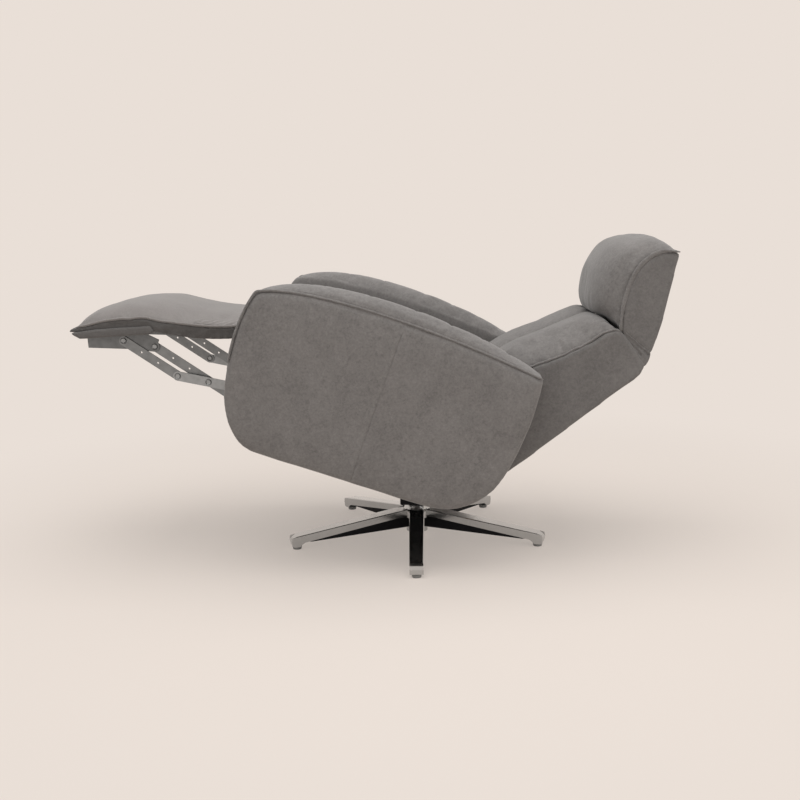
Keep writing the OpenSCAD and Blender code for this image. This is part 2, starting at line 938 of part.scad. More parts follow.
module footrest_rivets() {
    color("silver")
        in_seat()
            at_both() {
                shaft(lower_front, rivet_d, layer_y(3) + gap, layer_y(1) + gap / 2);
                shaft(lower_front, head_d, layer_y(1) + gap / 2, layer_y(1) + gap / 2 + head_t);
                shaft(upper_front, rivet_d, layer_y(4) + gap / 2, layer_y(2));
                shaft(upper_front, head_d, layer_y(2), layer_y(2) + head_t);
                shaft(upper_front, head_d, layer_y(4) + gap / 2 - head_t, layer_y(4) + gap / 2);
            }
}
module footrest_board() {
    w = footrest_w - 2 * board_in;
    color("dimgray")
        in_board()
            translate([-board_l - bracket_front, -w / 2, 0])
                cube([board_l + bracket_front, w, board_t]);
}
module footrest_cushion() {
    steps = 12;
    side_shares = [[0, 0.16], [0.06, 0.36], [0.43, 0.9], [0.78, 1.05], [1, 1]];
    crown_shares = [[0, 0.05], [0.1, 0.45], [0.3, 0.85], [0.55, 1.02], [1, 0.86]];
    full = calf_t - footrest_slim;
    ribs = [
        for (i = [0:steps])
            let (t = i / steps)
                [
                    mix(-board_l - tip_over, 0, t), board_t + gap, 0,
                    full * lookup(t, side_shares), footrest_crown * lookup(t, crown_shares)
                ]
    ];
    color("dimgray")
        in_board()
            padded(ribs, -footrest_w / 2, footrest_w / 2, pad_columns, 1, pad_draw);
}

// Back: n is the depth of a point in front of the recline axis, and u its height up the back
function rear_n(u) = -back_rear + rear_taper * u;
front_u_shares = [0, 0.25, 0.445, 0.625, 0.8075, 0.91, 0.9725, 0.9925];
front_n_shares = [0.9, 0.9, 0.82, 0.63, 0.52, 0.52, 0.43, 0.31];
function front_at(u) =
    lookup(u / back_l, [for (k = [0:len(front_u_shares) - 1]) [front_u_shares[k], front_n_shares[k] * back_rear]]);
back_front = [
    for (k = [0:len(front_u_shares) - 1]) [front_u_shares[k] * back_l, front_n_shares[k] * back_rear]
];
shell_foot = 30;
shell_round = 25;
module back_side(wall) {
    front = [for (p = back_front) [min(p[0], back_l - wall), p[1] - wall]];
    over = wall > 0 ? shell_foot : 0;
    foot = -shell_foot - over;
    polygon(concat(
        [[foot, rear_n(foot) + wall], [-over, front[0][1]]], front,
        [
            [back_l - wall, rear_n(back_l) + shell_round / 2 + wall],
            [back_l - shell_round, rear_n(back_l - shell_round) + wall]
        ]
    ));
}
module across_back(w) {
    translate([0, w / 2, 0])
        rotate([90, 0, 0])
            linear_extrude(w)
                children();
}
module frame_slab(u0, u1, n0 = 0, depth = upright_d) {
    polygon([for (e = [[u0, 0], [u0, 1], [u1, 1], [u1, 0]])
        [e[0], rear_n(e[0]) + back_wall + gap + n0 + e[1] * depth]]);
}
upright_out = seat_w / 2 - rail_t - 2 * hinge_arm_t - gap;
frame_low = 40;
frame_high = back_l - back_wall - rail_u;
module back_frame() {
    color("burlywood")
        in_back() {
            for (s = [-1, 1])
                side_slab(s, upright_out - upright_t, upright_t)
                    frame_slab(frame_low, frame_high);
            for (u = [frame_low, back_l * 0.47, frame_high - rail_u])
                across_back(2 * (upright_out - upright_t))
                    frame_slab(u, u + rail_u);
        }
}
module back_webbing() {
    color("dimgray")
        in_back()
            for (k = [0.2, 0.38, 0.62, 0.8])
                let (u = mix(frame_low, frame_high, k))
                    across_back(2 * upright_out - strap_short)
                        frame_slab(u - strap_w / 2, u + strap_w / 2, upright_d, strap_t);
}
module back_hinge_arms() {
    top = rear_n(hinge_arm_l) + back_wall + upright_d;
    color("silver")
        in_back()
            for (s = [-1, 1])
                side_slab(s, upright_out, hinge_arm_t)
                    difference() {
                        union() {
                            polygon([
                                [0, -hinge_eye], [frame_low, rear_n(frame_low) + back_wall + hinge_margin],
                                [hinge_arm_l, rear_n(hinge_arm_l) + back_wall + hinge_margin], [hinge_arm_l, top],
                                [frame_low, top + hinge_margin], [0, hinge_eye]
                            ]);
                            hole([0, 0], 2 * hinge_eye);
                        }
                        hole([0, 0], hinge_pin_d + 2 * run);
                    }
}
module back_shell() {
    color("dimgray")
        in_back()
            difference() {
                across_back(back_w)
                    back_side(0);
                across_back(back_w - 2 * back_wall)
                    back_side(back_wall);
                for (s = [-1, 1])
                    side_pin(s)
                        translate([back_l - 3 * back_wall, head_hinge_y - notch_margin, rear_n(back_l) + back_wall])
                            cube([4 * back_wall, 2 * leaf_t + 2 * notch_margin, 3 * leaf_t + 3 * notch_margin]);
            }
}
module back_cushion() {
    lean_shares = [[0, -41], [0.12, -22], [0.3, -4], [0.85, 0], [0.95, -5], [1, -8.5]];
    height_shares = [[0, 0.98], [0.3, 1], [0.6, 1], [0.8, 0.95], [0.92, 0.82], [1, 0.64]];
    last = len(back_front) - 1;
    places = [
        for (k = [0:last - 1], e = [0, 0.5]) mix(back_front[k][0], back_front[k + 1][0], e),
        back_front[last][0]
    ];
    ribs = [
        for (u = places)
            let (t = u / places[2 * last])
                [u, front_at(u) + gap, lookup(t, lean_shares), back_edge, bolster_crown * lookup(t, height_shares)]
    ];
    color("dimgray")
        in_back()
            padded(ribs, -back_w / 2, back_w / 2, back_columns, 2, back_draw);
}

// Headrest: its side in x and z, from the crease up over the top, and down the rear
head_side_shares = [
    [[-0.278, 0.163], [-0.349, 0.437], [-0.341, 0.754], [-0.218, 0.881]],
    [[-0.218, 0.881], [-0.175, 0.952], [-0.079, 0.992], [0.032, 1]],
    [[0.032, 1], [0.03, 0.85], [0.066, 0.5], [0.06, 0.2]],
    [[0.06, 0.2], [0.06, 0.1], [0.05, 0.05], [0.048, 0.02]]
];
function head_point(k, t) = head_h * curve_at(head_side_shares[k], t);
head_steps = [10, 6, 5, 3];
module head_side() {
    polygon([
        for (k = [0:3], i = [0:head_steps[k] - 1]) head_point(k, i / head_steps[k]),
        head_point(3, 1)
    ]);
}
module headrest_board_shape() {
    translate([-head_board_t + head_board_front, 0])
        square([head_board_t, head_h - 2 * head_board_in]);
}
module headrest_board() {
    w = head_w - 2 * head_board_in;
    color("burlywood")
        in_head()
            translate([0, 0, head_board_in])
                across_back(w)
                    headrest_board_shape();
}
module headrest_shell() {
    w = head_w - 2 * head_board_in;
    color("dimgray")
        in_head()
            difference() {
                across_back(head_w)
                    head_side();
                translate([0, 0, head_board_in])
                    across_back(w)
                        headrest_board_shape();
                for (s = [-1, 1])
                    side_pin(s)
                        translate([-notch_front, head_hinge_y - notch_margin, -cut])
                            cube([notch_front + leaf_r + notch_ease, 2 * leaf_t + 2 * notch_margin, head_board_in + cut]);
            }
}
module headrest_cushion() {
    crown_shares = [[0, 1.1], [0.1, 1.26], [0.25, 1.34], [0.5, 1.27], [0.7, 0.9], [0.88, 0.44], [1, 0.06]];
    turn_shares = [[0, 46], [0.12, 18], [0.24, 0], [1, 0]];
    steps = head_steps[0] + head_steps[1];
    ribs = [
        for (i = [0:steps])
            let (
                t = i / steps,
                k = i < head_steps[0] ? 0 : 1,
                w = k == 0 ? i / head_steps[0] : (i - head_steps[0]) / head_steps[1],
                p = head_point(k, w),
                q = head_point(k, w + nudge) - p,
                lean = -atan2(q[1], q[0]) + lookup(t, turn_shares),
                n = [sin(lean), cos(lean)]
            )
                [p[0] + gap * n[0], p[1] + gap * n[1], lean, head_edge, head_crown * lookup(t, crown_shares)]
    ];
    color("dimgray")
        in_head()
            padded(ribs, -head_w / 2, head_w / 2, head_columns, 1, head_draw);
}
function head_to_back(p) =
    let (a = 90 - head_fold)
        [head_pivot_u + p[0] * cos(a) + p[1] * sin(a), p[1] * cos(a) - p[0] * sin(a) - head_pivot_n];
module neck_gusset() {
    rear = head_to_back(head_point(3, 1));
    crease = head_to_back(head_point(0, 0));
    low = rear_n(back_l) + shell_round / 2;
    hinge_in = head_hinge_y - gusset_gap;
    hinge_out = head_hinge_y + 2 * leaf_t + gusset_gap;
    half = back_w / 2 - gusset_in;
    color("gray")
        in_back()
            for (b = [[-half, -hinge_out], [-hinge_in, hinge_in], [hinge_out, half]])
                translate([0, b[1], 0])
                    rotate([90, 0, 0])
                        linear_extrude(b[1] - b[0])
                            polygon([
                                [back_l + gap, low], [back_l + gap, crease[1] - shell_round],
                                mix(rear, crease, 0.7) - [2 * gap, 0], mix(rear, crease, 0.04) - [2 * gap, 0]
                            ]);
}
module head_hinge_lower() {
    foot_u = frame_high;
    color("silver")
        in_back()
            for (s = [-1, 1])
                side_pin(s) {
                    translate([0, head_hinge_y + leaf_t, 0])
                        rotate([90, 0, 0])
                            linear_extrude(leaf_t)
                                bar([foot_u + leaf_r, -head_pivot_n], [head_pivot_u, -head_pivot_n], 2 * leaf_r);
                    translate([foot_u, head_hinge_y - leaf_t, rear_n(foot_u) + back_wall + leaf_foot_gap])
                        cube([link_t, 3 * leaf_t, upright_d - 2 * leaf_foot_gap]);
                    shaft([head_pivot_u, -head_pivot_n], head_pin_d, head_hinge_y - head_t,
                          head_hinge_y + 2 * leaf_t + gap + head_t);
                }
}
module head_hinge_upper() {
    color("silver")
        in_head()
            for (s = [-1, 1])
                side_pin(s) {
                    translate([0, head_hinge_y + 2 * leaf_t + gap, 0])
                        rotate([90, 0, 0])
                            linear_extrude(leaf_t)
                                difference() {
                                    bar([0, 0], [-leaf_shift, head_board_in - leaf_r], 2 * leaf_r);
                                    hole([0, 0], head_pin_d + 2 * run);
                                }
                    translate([-leaf_r - leaf_shift, head_hinge_y + leaf_t + gap, head_board_in - link_t])
                        cube([2 * leaf_r, leaf_t, link_t]);
                }
}

star_base();
base_webs();
glides();
thrust_bearing();
swivel_column();
column_housing();
tilt_yoke();
tilt_pin();
tilt_cradle();
mechanism_plate(-1);  // mechanism_plate_left
mechanism_plate(1);  // mechanism_plate_right
seat_rail(-1);  // seat_rail_left
seat_rail(1);  // seat_rail_right
cross_rail(-rail_front, seat_w - 2 * rail_t);  // front_rail
cross_rail(rail_rear - rail_t + cross_slim, seat_w - 2 * rail_t - 2 * hinge_arm_t - 2 * gap);  // rear_rail
seat_webbing();
seat_cushion();
calf_pad();
arm_panel(-1);  // arm_panel_left
arm_panel(1);  // arm_panel_right
arm_outer_cover(-1);  // arm_outer_cover_left
arm_outer_cover(1);  // arm_outer_cover_right
arm_inner_cover(-1);  // arm_inner_cover_left
arm_inner_cover(1);  // arm_inner_cover_right
arm_top_pad(-1);  // arm_top_pad_left
arm_top_pad(1);  // arm_top_pad_right
recline_plates();
recline_pins();
main_pivots();
rear_link(-1);  // rear_link_left
rear_link(1);  // rear_link_right
rear_link_rivets();
cross_tube();
lower_link(-1);  // lower_link_left
lower_link(1);  // lower_link_right
upper_link(-1);  // upper_link_left
upper_link(1);  // upper_link_right
footrest_bracket(-1);  // footrest_bracket_left
footrest_bracket(1);  // footrest_bracket_right
footrest_rivets();
footrest_board();
footrest_cushion();
back_frame();
back_webbing();
back_hinge_arms();
back_shell();
back_cushion();
neck_gusset();
head_hinge_lower();
head_hinge_upper();
headrest_board();
headrest_shell();
headrest_cushion();
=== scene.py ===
"""Looks of a star base swivel recliner: its upholstery, piping, polished base and linkage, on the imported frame."""

import json
import math

import bmesh
import bpy
from mathutils import Matrix, Vector, kdtree, noise
from mathutils.bvhtree import BVHTree


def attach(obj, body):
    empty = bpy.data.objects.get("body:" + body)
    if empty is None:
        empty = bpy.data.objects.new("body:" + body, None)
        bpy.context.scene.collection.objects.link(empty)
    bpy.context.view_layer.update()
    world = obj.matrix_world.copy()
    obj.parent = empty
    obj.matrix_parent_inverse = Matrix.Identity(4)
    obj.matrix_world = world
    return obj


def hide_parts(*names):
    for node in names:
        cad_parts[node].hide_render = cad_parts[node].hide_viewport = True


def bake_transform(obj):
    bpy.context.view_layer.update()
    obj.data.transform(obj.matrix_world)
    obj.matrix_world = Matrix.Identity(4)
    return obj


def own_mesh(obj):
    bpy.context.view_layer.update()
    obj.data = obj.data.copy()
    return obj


bl_info = {
    "name": "Swivel Recliner Upholstery",
    "version": (1, 0, 0),
    "blender": (4, 5, 0),
    "location": "View3D > Sidebar > Recliner",
    "description": "Upholsters and finishes a star base swivel recliner on its packed frame",
    "category": "Add Mesh",
}

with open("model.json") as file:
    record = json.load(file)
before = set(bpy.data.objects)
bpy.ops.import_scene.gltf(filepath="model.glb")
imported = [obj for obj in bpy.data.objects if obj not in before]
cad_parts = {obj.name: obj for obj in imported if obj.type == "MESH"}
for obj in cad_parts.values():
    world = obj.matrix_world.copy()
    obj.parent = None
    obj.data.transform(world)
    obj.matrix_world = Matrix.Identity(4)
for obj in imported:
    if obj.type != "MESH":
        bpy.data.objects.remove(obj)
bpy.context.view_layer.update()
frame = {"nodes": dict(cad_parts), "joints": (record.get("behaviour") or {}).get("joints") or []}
NODES = frame["nodes"]
HINGES = {j["name"]: Vector(j["pos_m"]) for j in frame["joints"]}
SIDES = (("left", 1), ("right", -1))

# Turns at rest of the frames that pieces are worked on in, in degrees, and the place of the footrest's board
SEAT_TILT, BACK_TURN, HEAD_TURN, BOARD_TURN = 18.5, -52.5, 50.0, -21.5
BOARD_AT = Vector((-0.71613, 0, 0.11889))


def lean(hinge, degrees):
    """The frame of a body that leans back by some degrees about its hinge"""
    return Matrix.Translation(HINGES[hinge]) @ Matrix.Rotation(math.radians(degrees), 4, "Y")


ROOM = Matrix.Identity(4)
SEAT = lean("seat_tilt", SEAT_TILT)
BACK = lean("back_recline", SEAT_TILT + BACK_TURN)
HEAD = lean("headrest_tilt", SEAT_TILT + BACK_TURN + HEAD_TURN)
BOARD = Matrix.Translation(SEAT @ BOARD_AT) @ Matrix.Rotation(math.radians(SEAT_TILT + BOARD_TURN), 4, "Y")


# Sizes and colours that a user would change
def colour(name, description, default):
    return bpy.props.FloatVectorProperty(
        name=name, description=description, subtype="COLOR", size=3, min=0, max=1, default=default
    )


def number(name, description, default, low, high, unit="NONE"):
    return bpy.props.FloatProperty(name=name, description=description, default=default, min=low, max=high, unit=unit)


class UpholsterySizes(bpy.types.PropertyGroup):
    cloth: colour("Cloth", "Colour of the suede-like cloth", (0.171, 0.162, 0.157))
    # Painted light: a lighter copy of the cloth, standing in for the light and sheen on the footrest's and calf pad's
    # tops
    footrest_cloth_painted_light: colour(
        "Footrest Cloth", "Colour of the cloth where its nap is brushed towards the light", (0.205, 0.190, 0.183)
    )
    piping: number("Piping", "Radius of the piping", 0.0031, 0.001, 0.006, "LENGTH")
    grid: number("Grid", "Spacing of the cloth's threads in the simulation", 0.0062, 0.003, 0.02, "LENGTH")
    air: number("Air", "Pressure that fills the cushions", 4.0, 0, 20)


class MetalSizes(bpy.types.PropertyGroup):
    aluminium: colour("Aluminium", "Colour of the polished star base", (0.50, 0.505, 0.505))
    zinc: colour("Zinc", "Colour of the plated links", (0.345, 0.358, 0.366))
    casting: colour("Casting", "Colour of the black webs and housing", (0.012, 0.012, 0.013))
    rounding: number("Rounding", "Rounding of the polished edges", 0.0012, 0.0002, 0.004, "LENGTH")


class StageSizes(bpy.types.PropertyGroup):
    backdrop: colour("Backdrop", "Colour of the room behind", (0.8148, 0.7379, 0.6795))
    floor: colour("Floor", "Colour of the floor", (0.735, 0.665, 0.612))
    lens: number("Lens", "Focal length on a 36 mm wide sensor", 45.54, 20, 120, "CAMERA")
    skylight: number("Skylight", "Strength of the soft light from all round", 0.62, 0, 3)
    overhead: number("Overhead Lamp", "Power of the wide lamp over the chair, in watts", 62.0, 0, 1000)


# Node trees
class Wiring:
    """Adds nodes to a material's or a group's tree and links them"""

    def __init__(self, tree):
        self.tree = tree

    def feed(self, socket, value):
        """Links a socket to another one, or sets its value"""
        if isinstance(value, bpy.types.NodeSocket):
            self.tree.links.new(value, socket)
        else:
            socket.default_value = value

    def add(self, kind, values=None, **settings):
        node = self.tree.nodes.new(kind)
        for key, value in settings.items():
            setattr(node, key, value)
        for key, value in (values or {}).items():
            self.feed(node.inputs[key], value)
        return node

    def math(self, operation, a, b=0.0, c=0.0):
        return self.add("ShaderNodeMath", {0: a, 1: b, 2: c}, operation=operation).outputs[0]

    def mix(self, share, a, b):
        return self.add("ShaderNodeMix", {0: share, 6: a, 7: b}, data_type="RGBA").outputs[2]

    def tint(self, tone, shade):
        return self.add("ShaderNodeVectorMath", {0: tone, "Scale": shade}, operation="SCALE").outputs[0]

    def noise(self, vector, scale, detail=3.0, rough=0.55, warp=0.0):
        return self.add(
            "ShaderNodeTexNoise",
            {"Vector": vector, "Scale": scale, "Detail": detail, "Roughness": rough, "Distortion": warp},
        ).outputs["Fac"]

    def span(self, value, low, high, to_low=0.0, to_high=1.0):
        return self.add(
            "ShaderNodeMapRange",
            {"Value": value, "From Min": low, "From Max": high, "To Min": to_low, "To Max": to_high},
            interpolation_type="SMOOTHSTEP",
        ).outputs["Result"]

    def seen(self):
        """1 for what the camera sees straight, in a reflection or through glass"""
        rays = self.add("ShaderNodeLightPath").outputs
        through = self.math("MAXIMUM", rays["Is Glossy Ray"], rays["Is Transmission Ray"])
        return self.math("MAXIMUM", rays["Is Camera Ray"], through)

    def blend(self, own, other, share, output):
        """Mixes another shader into the tree's own one, ahead of its output"""
        both = self.add("ShaderNodeMixShader", {0: share, 1: self.tree.nodes[own].outputs[0], 2: other.outputs[0]})
        self.feed(self.tree.nodes[output].inputs["Surface"], both.outputs[0])


def surface_group(name, inputs):
    """An empty node group with (name, kind, default) sockets in, and a colour, a roughness and a height out"""
    group = bpy.data.node_groups.new(name, "ShaderNodeTree")
    for label, kind, default in (("Vector", "Vector", None), *inputs):
        socket = group.interface.new_socket(label, in_out="INPUT", socket_type="NodeSocket" + kind)
        if default is not None:
            socket.default_value = default
    for label, kind in (("Color", "Color"), ("Roughness", "Float"), ("Height", "Float")):
        group.interface.new_socket(label, in_out="OUTPUT", socket_type="NodeSocket" + kind)
    w = Wiring(group)
    return group, w, w.add("NodeGroupInput").outputs, w.add("NodeGroupOutput").inputs


def suede_nap():
    """Brushed nap: soft blotches, finer scuffs and the short pile itself"""
    group, w, given, out = surface_group("Suede Nap", [
        ("Cloth", "Color", (0.17, 0.16, 0.15, 1)), ("Blotches", "Float", 0.5), ("Scuffs", "Float", 0.5),
        ("Specks", "Float", 0.35),
    ])
    place = given["Vector"]
    broad = w.noise(place, 9.0, 4.0, 0.62, 0.6)
    brushed = w.noise(place, 46.0, 5.0, 0.72, 1.4)
    specks = w.noise(place, 190.0, 3.0, 0.7, 0.4)
    pile = w.noise(place, 620.0, 2.0, 0.6)
    swing = 0.0
    marks = ((broad, given["Blotches"]), (brushed, given["Scuffs"]), (specks, given["Specks"]), (pile, 0.2))
    for field, weight in marks:
        swing = w.math("MULTIPLY_ADD", w.math("SUBTRACT", field, 0.5), weight, swing)
    dark_specks = w.math("MULTIPLY", w.span(specks, 0.64, 0.76), w.span(brushed, 0.5, 0.66, 0.0, 0.22))
    shade = w.math("SUBTRACT", w.math("ADD", swing, 1.0), dark_specks)
    w.feed(out["Color"], w.tint(given["Cloth"], shade))
    w.feed(out["Roughness"], w.span(brushed, 0.3, 0.7, 0.82, 0.96))
    w.feed(out["Height"], w.math("MULTIPLY_ADD", brushed, 0.35, w.math("MULTIPLY", pile, 0.65)))
    return group


def worn_metal():
    """Smears, fine scratches and mottle of a metal surface"""
    group, w, given, out = surface_group("Worn Metal", [
        ("Metal", "Color", (0.6, 0.6, 0.6, 1)), ("Gloss", "Float", 0.15), ("Smears", "Float", 0.08),
        ("Mottle", "Float", 0.1), ("Mottle Scale", "Float", 60.0),
    ])
    place, mottle = given["Vector"], given["Mottle"]
    smear = w.noise(place, 22.0, 5.0, 0.6, 1.6)
    cells = w.add("ShaderNodeTexVoronoi", {"Vector": place, "Scale": given["Mottle Scale"]}, feature="SMOOTH_F1")
    flecks = w.math("SUBTRACT", cells.outputs["Distance"], 0.35)
    grain = w.noise(place, 900.0, 2.0, 0.6)
    shade = w.math("MULTIPLY_ADD", flecks, mottle, 1.0)
    shade = w.math("MULTIPLY_ADD", w.math("SUBTRACT", smear, 0.5), w.math("MULTIPLY", mottle, 1.4), shade)
    w.feed(out["Color"], w.tint(given["Metal"], shade))
    w.feed(out["Roughness"], w.math("MULTIPLY_ADD", w.span(smear, 0.35, 0.7), given["Smears"], given["Gloss"]))
    w.feed(out["Height"], w.math("MULTIPLY_ADD", grain, 0.5, w.math("MULTIPLY", smear, 0.5)))
    return group


FINISHES = {}
GROUPS = {}


def shader_start(name, **constants):
    """A new material with its Principled shader's own values set, and its object coordinates"""
    finish = FINISHES[name] = bpy.data.materials.new(name)
    finish.use_nodes = True
    w = Wiring(finish.node_tree)
    shader = finish.node_tree.nodes["Principled BSDF"].inputs
    for key, value in constants.items():
        shader[key.replace("_", " ")].default_value = value
    return w, shader, w.add("ShaderNodeTexCoord").outputs["Object"]


def surface(w, shader, tone, roughness, height, distance, strength=1.0):
    """Feeds a shader's colour, roughness and relief"""
    bump = w.add("ShaderNodeBump", {"Height": height, "Distance": distance, "Strength": strength})
    for key, value in (("Base Color", tone), ("Roughness", roughness), ("Normal", bump.outputs["Normal"])):
        w.feed(shader[key], value)


def grouped(name, group, values, distance, strength=1.0, **constants):
    """A material whose colour, roughness and relief come from a node group"""
    w, shader, place = shader_start(name, **constants)
    made = w.add("ShaderNodeGroup", {"Vector": place, **values}, node_tree=GROUPS[group]).outputs
    surface(w, shader, made["Color"], made["Roughness"], made["Height"], distance, strength)


def upholstery(name, cloth, shade, blotches, scuffs, specks):
    tone = (*(c * shade for c in cloth), 1)
    values = {"Cloth": tone, "Blotches": blotches, "Scuffs": scuffs, "Specks": specks}
    grouped(name, "nap", values, 0.0006, 0.55, Sheen_Weight=0.26, Sheen_Roughness=0.45, Specular_IOR_Level=0.25)


def metal(name, tone, shade, gloss, smears, mottle, mottle_scale, metallic=1.0, relief=0.00004, **constants):
    tone = (*(c * shade for c in tone), 1)
    values = {"Metal": tone, "Gloss": gloss, "Smears": smears, "Mottle": mottle, "Mottle Scale": mottle_scale}
    grouped(name, "metal", values, relief, Metallic=metallic, **constants)


def timber(name):
    w, shader, place = shader_start(name)
    along = w.add("ShaderNodeMapping", {"Vector": place, "Scale": (3.0, 26.0, 26.0)}).outputs[0]
    rings = w.noise(along, 3.0, 5.0, 0.6, 1.1)
    fibre = w.noise(w.add("ShaderNodeMapping", {"Vector": place, "Scale": (30.0, 500.0, 500.0)}).outputs[0], 1.0, 2.0)
    wood = w.mix(w.span(rings, 0.35, 0.65), (0.36, 0.22, 0.11, 1), (0.52, 0.36, 0.20, 1))
    surface(w, shader, wood, w.span(rings, 0.3, 0.7, 0.5, 0.68), fibre, 0.0003, 0.6)


def webbing(name):
    w, shader, place = shader_start(name)
    threads = {"Vector": place, "Scale": 160.0}
    bands = [w.add("ShaderNodeTexWave", threads, bands_direction=way).outputs["Fac"] for way in "XY"]
    weave = w.math("MULTIPLY", *bands)
    surface(w, shader, w.mix(weave, (0.012, 0.012, 0.013, 1), (0.045, 0.044, 0.043, 1)), 0.85, weave, 0.0004)


def plastic(name, tone, rough):
    w, shader, place = shader_start(name)
    grain = w.noise(place, 1100.0, 3.0, 0.6)
    dust = w.noise(place, 45.0, 4.0, 0.6)
    lighter = tuple(min(1, c * 1.7 + 0.01) for c in tone)
    dusty = w.mix(w.span(dust, 0.5, 0.85), (*tone, 1), (*lighter, 1))
    surface(w, shader, dusty, w.span(dust, 0.3, 0.8, rough, rough + 0.18), grain, 0.0002, 0.5)


# Meshes
def merged(node, place=ROOM):
    """A CAD node's mesh, merged, in the frame of the body that it is worked on"""
    bm = bmesh.new()
    bm.from_mesh(NODES[node].data)
    bmesh.ops.remove_doubles(bm, verts=bm.verts, dist=1e-5)
    bm.transform(place.inverted())
    bm.normal_update()
    return bm


def as_object(bm, name, finish=None, place=ROOM):
    """The finished mesh as an object at the origin, with its place in its mesh"""
    bm.transform(place)
    mesh = bpy.data.meshes.new(name)
    bm.to_mesh(mesh)
    bm.free()
    mesh.shade_smooth()
    if finish:
        mesh.materials.append(FINISHES[finish])
    obj = bpy.data.objects.new(name, mesh)
    bpy.context.scene.collection.objects.link(obj)
    return obj


def piece(bm, name, finish, place, body, slot, *nodes):
    """A finished mesh as a piece of its body, in place of CAD nodes"""
    obj = as_object(bm, name, finish, place)
    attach(obj, body)
    if nodes:
        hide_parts(*nodes)
    return obj


def cover(bm, name, finish, place, body, fill, *nodes):
    """A finished mesh as a piece of cloth"""
    obj = piece(bm, name, finish, place, body, "upholstery", *nodes)
    return obj


def settled(obj):
    """The mesh of an object with its modifiers applied, in place of the object"""
    state = obj.evaluated_get(bpy.context.evaluated_depsgraph_get())
    mesh, source = bpy.data.meshes.new_from_object(state), obj.data
    bm = bmesh.new()
    bm.from_mesh(mesh)
    bpy.data.meshes.remove(mesh)
    bpy.data.objects.remove(obj)
    (bpy.data.meshes if isinstance(source, bpy.types.Mesh) else bpy.data.curves).remove(source)
    return bm


def smoothed(bm, verts, rounds=1, lengthwise=True):
    """Evens out vertices, in every direction or only across the chair and upright"""
    for _ in range(rounds):
        bmesh.ops.smooth_vert(bm, verts=verts, factor=0.5, use_axis_x=lengthwise, use_axis_y=True, use_axis_z=True)


def skinned(bm, grid, rounds):
    """One closed, even skin round a form, with its edges rounded"""
    form = as_object(bm, "form")
    remesh = form.modifiers.new("Skin", "REMESH")
    remesh.mode = "VOXEL"
    remesh.voxel_size = grid
    skin = settled(form)
    smoothed(skin, skin.verts, rounds)
    skin.normal_update()
    return skin


def chains(bm, here, there):
    """Lines of edges between faces that pass one test and faces that pass another, each as points in order"""
    links = {}
    for edge in bm.edges:
        if len(edge.link_faces) == 2:
            a, b = (f.normal for f in edge.link_faces)
            if (here(a) and there(b)) or (here(b) and there(a)):
                for v, other in (edge.verts, reversed(edge.verts)):
                    links.setdefault(v, []).append(other)
    found, seen = [], set()
    for v in sorted(links, key=lambda v: (len(links[v]) != 1, v.index)):
        line = []
        while v is not None and v not in seen:
            seen.add(v)
            line.append(v.co.copy())
            v = next((u for u in links[v] if u not in seen), None)
        if line:
            found.append(line)
    return found


def smooth_line(points, step=0.004, rounds=1):
    """An even line through points, with its corners eased"""
    points = [Vector(p) for p in points]
    dense = []
    for i in range(len(points) - 1):
        p0, p1, p2, p3 = points[max(i - 1, 0)], points[i], points[i + 1], points[min(i + 2, len(points) - 1)]
        count = max(1, round((p2 - p1).length / step))
        for k in range(count):
            t = k / count
            square, cube = 2 * p0 - 5 * p1 + 4 * p2 - p3, 3 * p1 - p0 - 3 * p2 + p3
            dense.append(0.5 * (2 * p1 + (p2 - p0) * t + square * t * t + cube * t ** 3))
    dense.append(points[-1])
    for _ in range(rounds):
        dense = [dense[0]] + [(a + 2 * b + c) / 4 for a, b, c in zip(dense, dense[1:], dense[2:])] + [dense[-1]]
    return dense


def piping(line, radius, finish, name, place, body, butt=0):
    """A round cord of cloth along a line, with closed ends that narrow, apart from one that butts on another cord"""
    curve = bpy.data.curves.new(name, "CURVE")
    curve.dimensions = "3D"
    spline = curve.splines.new("POLY")
    spline.points.add(len(line) - 1)
    for point, p in zip(spline.points, line):
        point.co = (*p, 1)
    ends = min(6, len(line) // 3)
    for k in range(ends):
        slim = math.sin(math.pi / 2 * (k + 0.6) / ends)
        if butt >= 0:
            spline.points[k].radius = slim
        if butt <= 0:
            spline.points[-1 - k].radius = slim
    curve.bevel_depth = radius
    curve.bevel_resolution = 2
    curve.use_fill_caps = True
    cord = bpy.data.objects.new(name, curve)
    bpy.context.scene.collection.objects.link(cord)
    bm = settled(cord)
    bmesh.ops.remove_doubles(bm, verts=bm.verts, dist=1e-6)
    bmesh.ops.recalc_face_normals(bm, faces=bm.faces)
    return piece(bm, name, finish, place, body, "upholstery")


def line_tree(lines):
    """A search tree over lines, with each point's length along its line"""
    points, runs = [], []
    for line in lines:
        run = 0.0
        for i, p in enumerate(line):
            run += (p - line[i - 1]).length if i else 0.0
            points.append(p)
            runs.append(run)
    tree = kdtree.KDTree(len(points))
    for i, p in enumerate(points):
        tree.insert(p, i)
    tree.balance()
    return tree, runs


def press_seam(bm, lines, depth, width, pucker=0.0, pitch=0.016, reach=0.03, slant=0.0, seed=0.0, where=None):
    """Draws a skin in along sewn lines, with puckers that run off them"""
    tree, runs = line_tree(lines)
    far = max(3 * width, 2.5 * reach if pucker else 0)
    bm.normal_update()
    for v in bm.verts:
        if where and not where(v):
            continue
        _, index, away = tree.find(v.co)
        if away > far:
            continue
        push = -depth * math.exp(-((away / width) ** 2))
        if pucker:
            along = (runs[index] + slant * away) / pitch
            drift = noise.noise(Vector((0.6 * along, seed, 0)))
            drift += 0.5 * noise.noise(Vector((2.3 * along, seed + 7, away * 14)))
            ridge = math.sin(2 * math.pi * (along + 0.4 * drift)) * (0.6 + drift)
            push += pucker * ridge * math.exp(-away / reach) * min(1, away / 0.004)
        v.co += v.normal * push
    bm.normal_update()


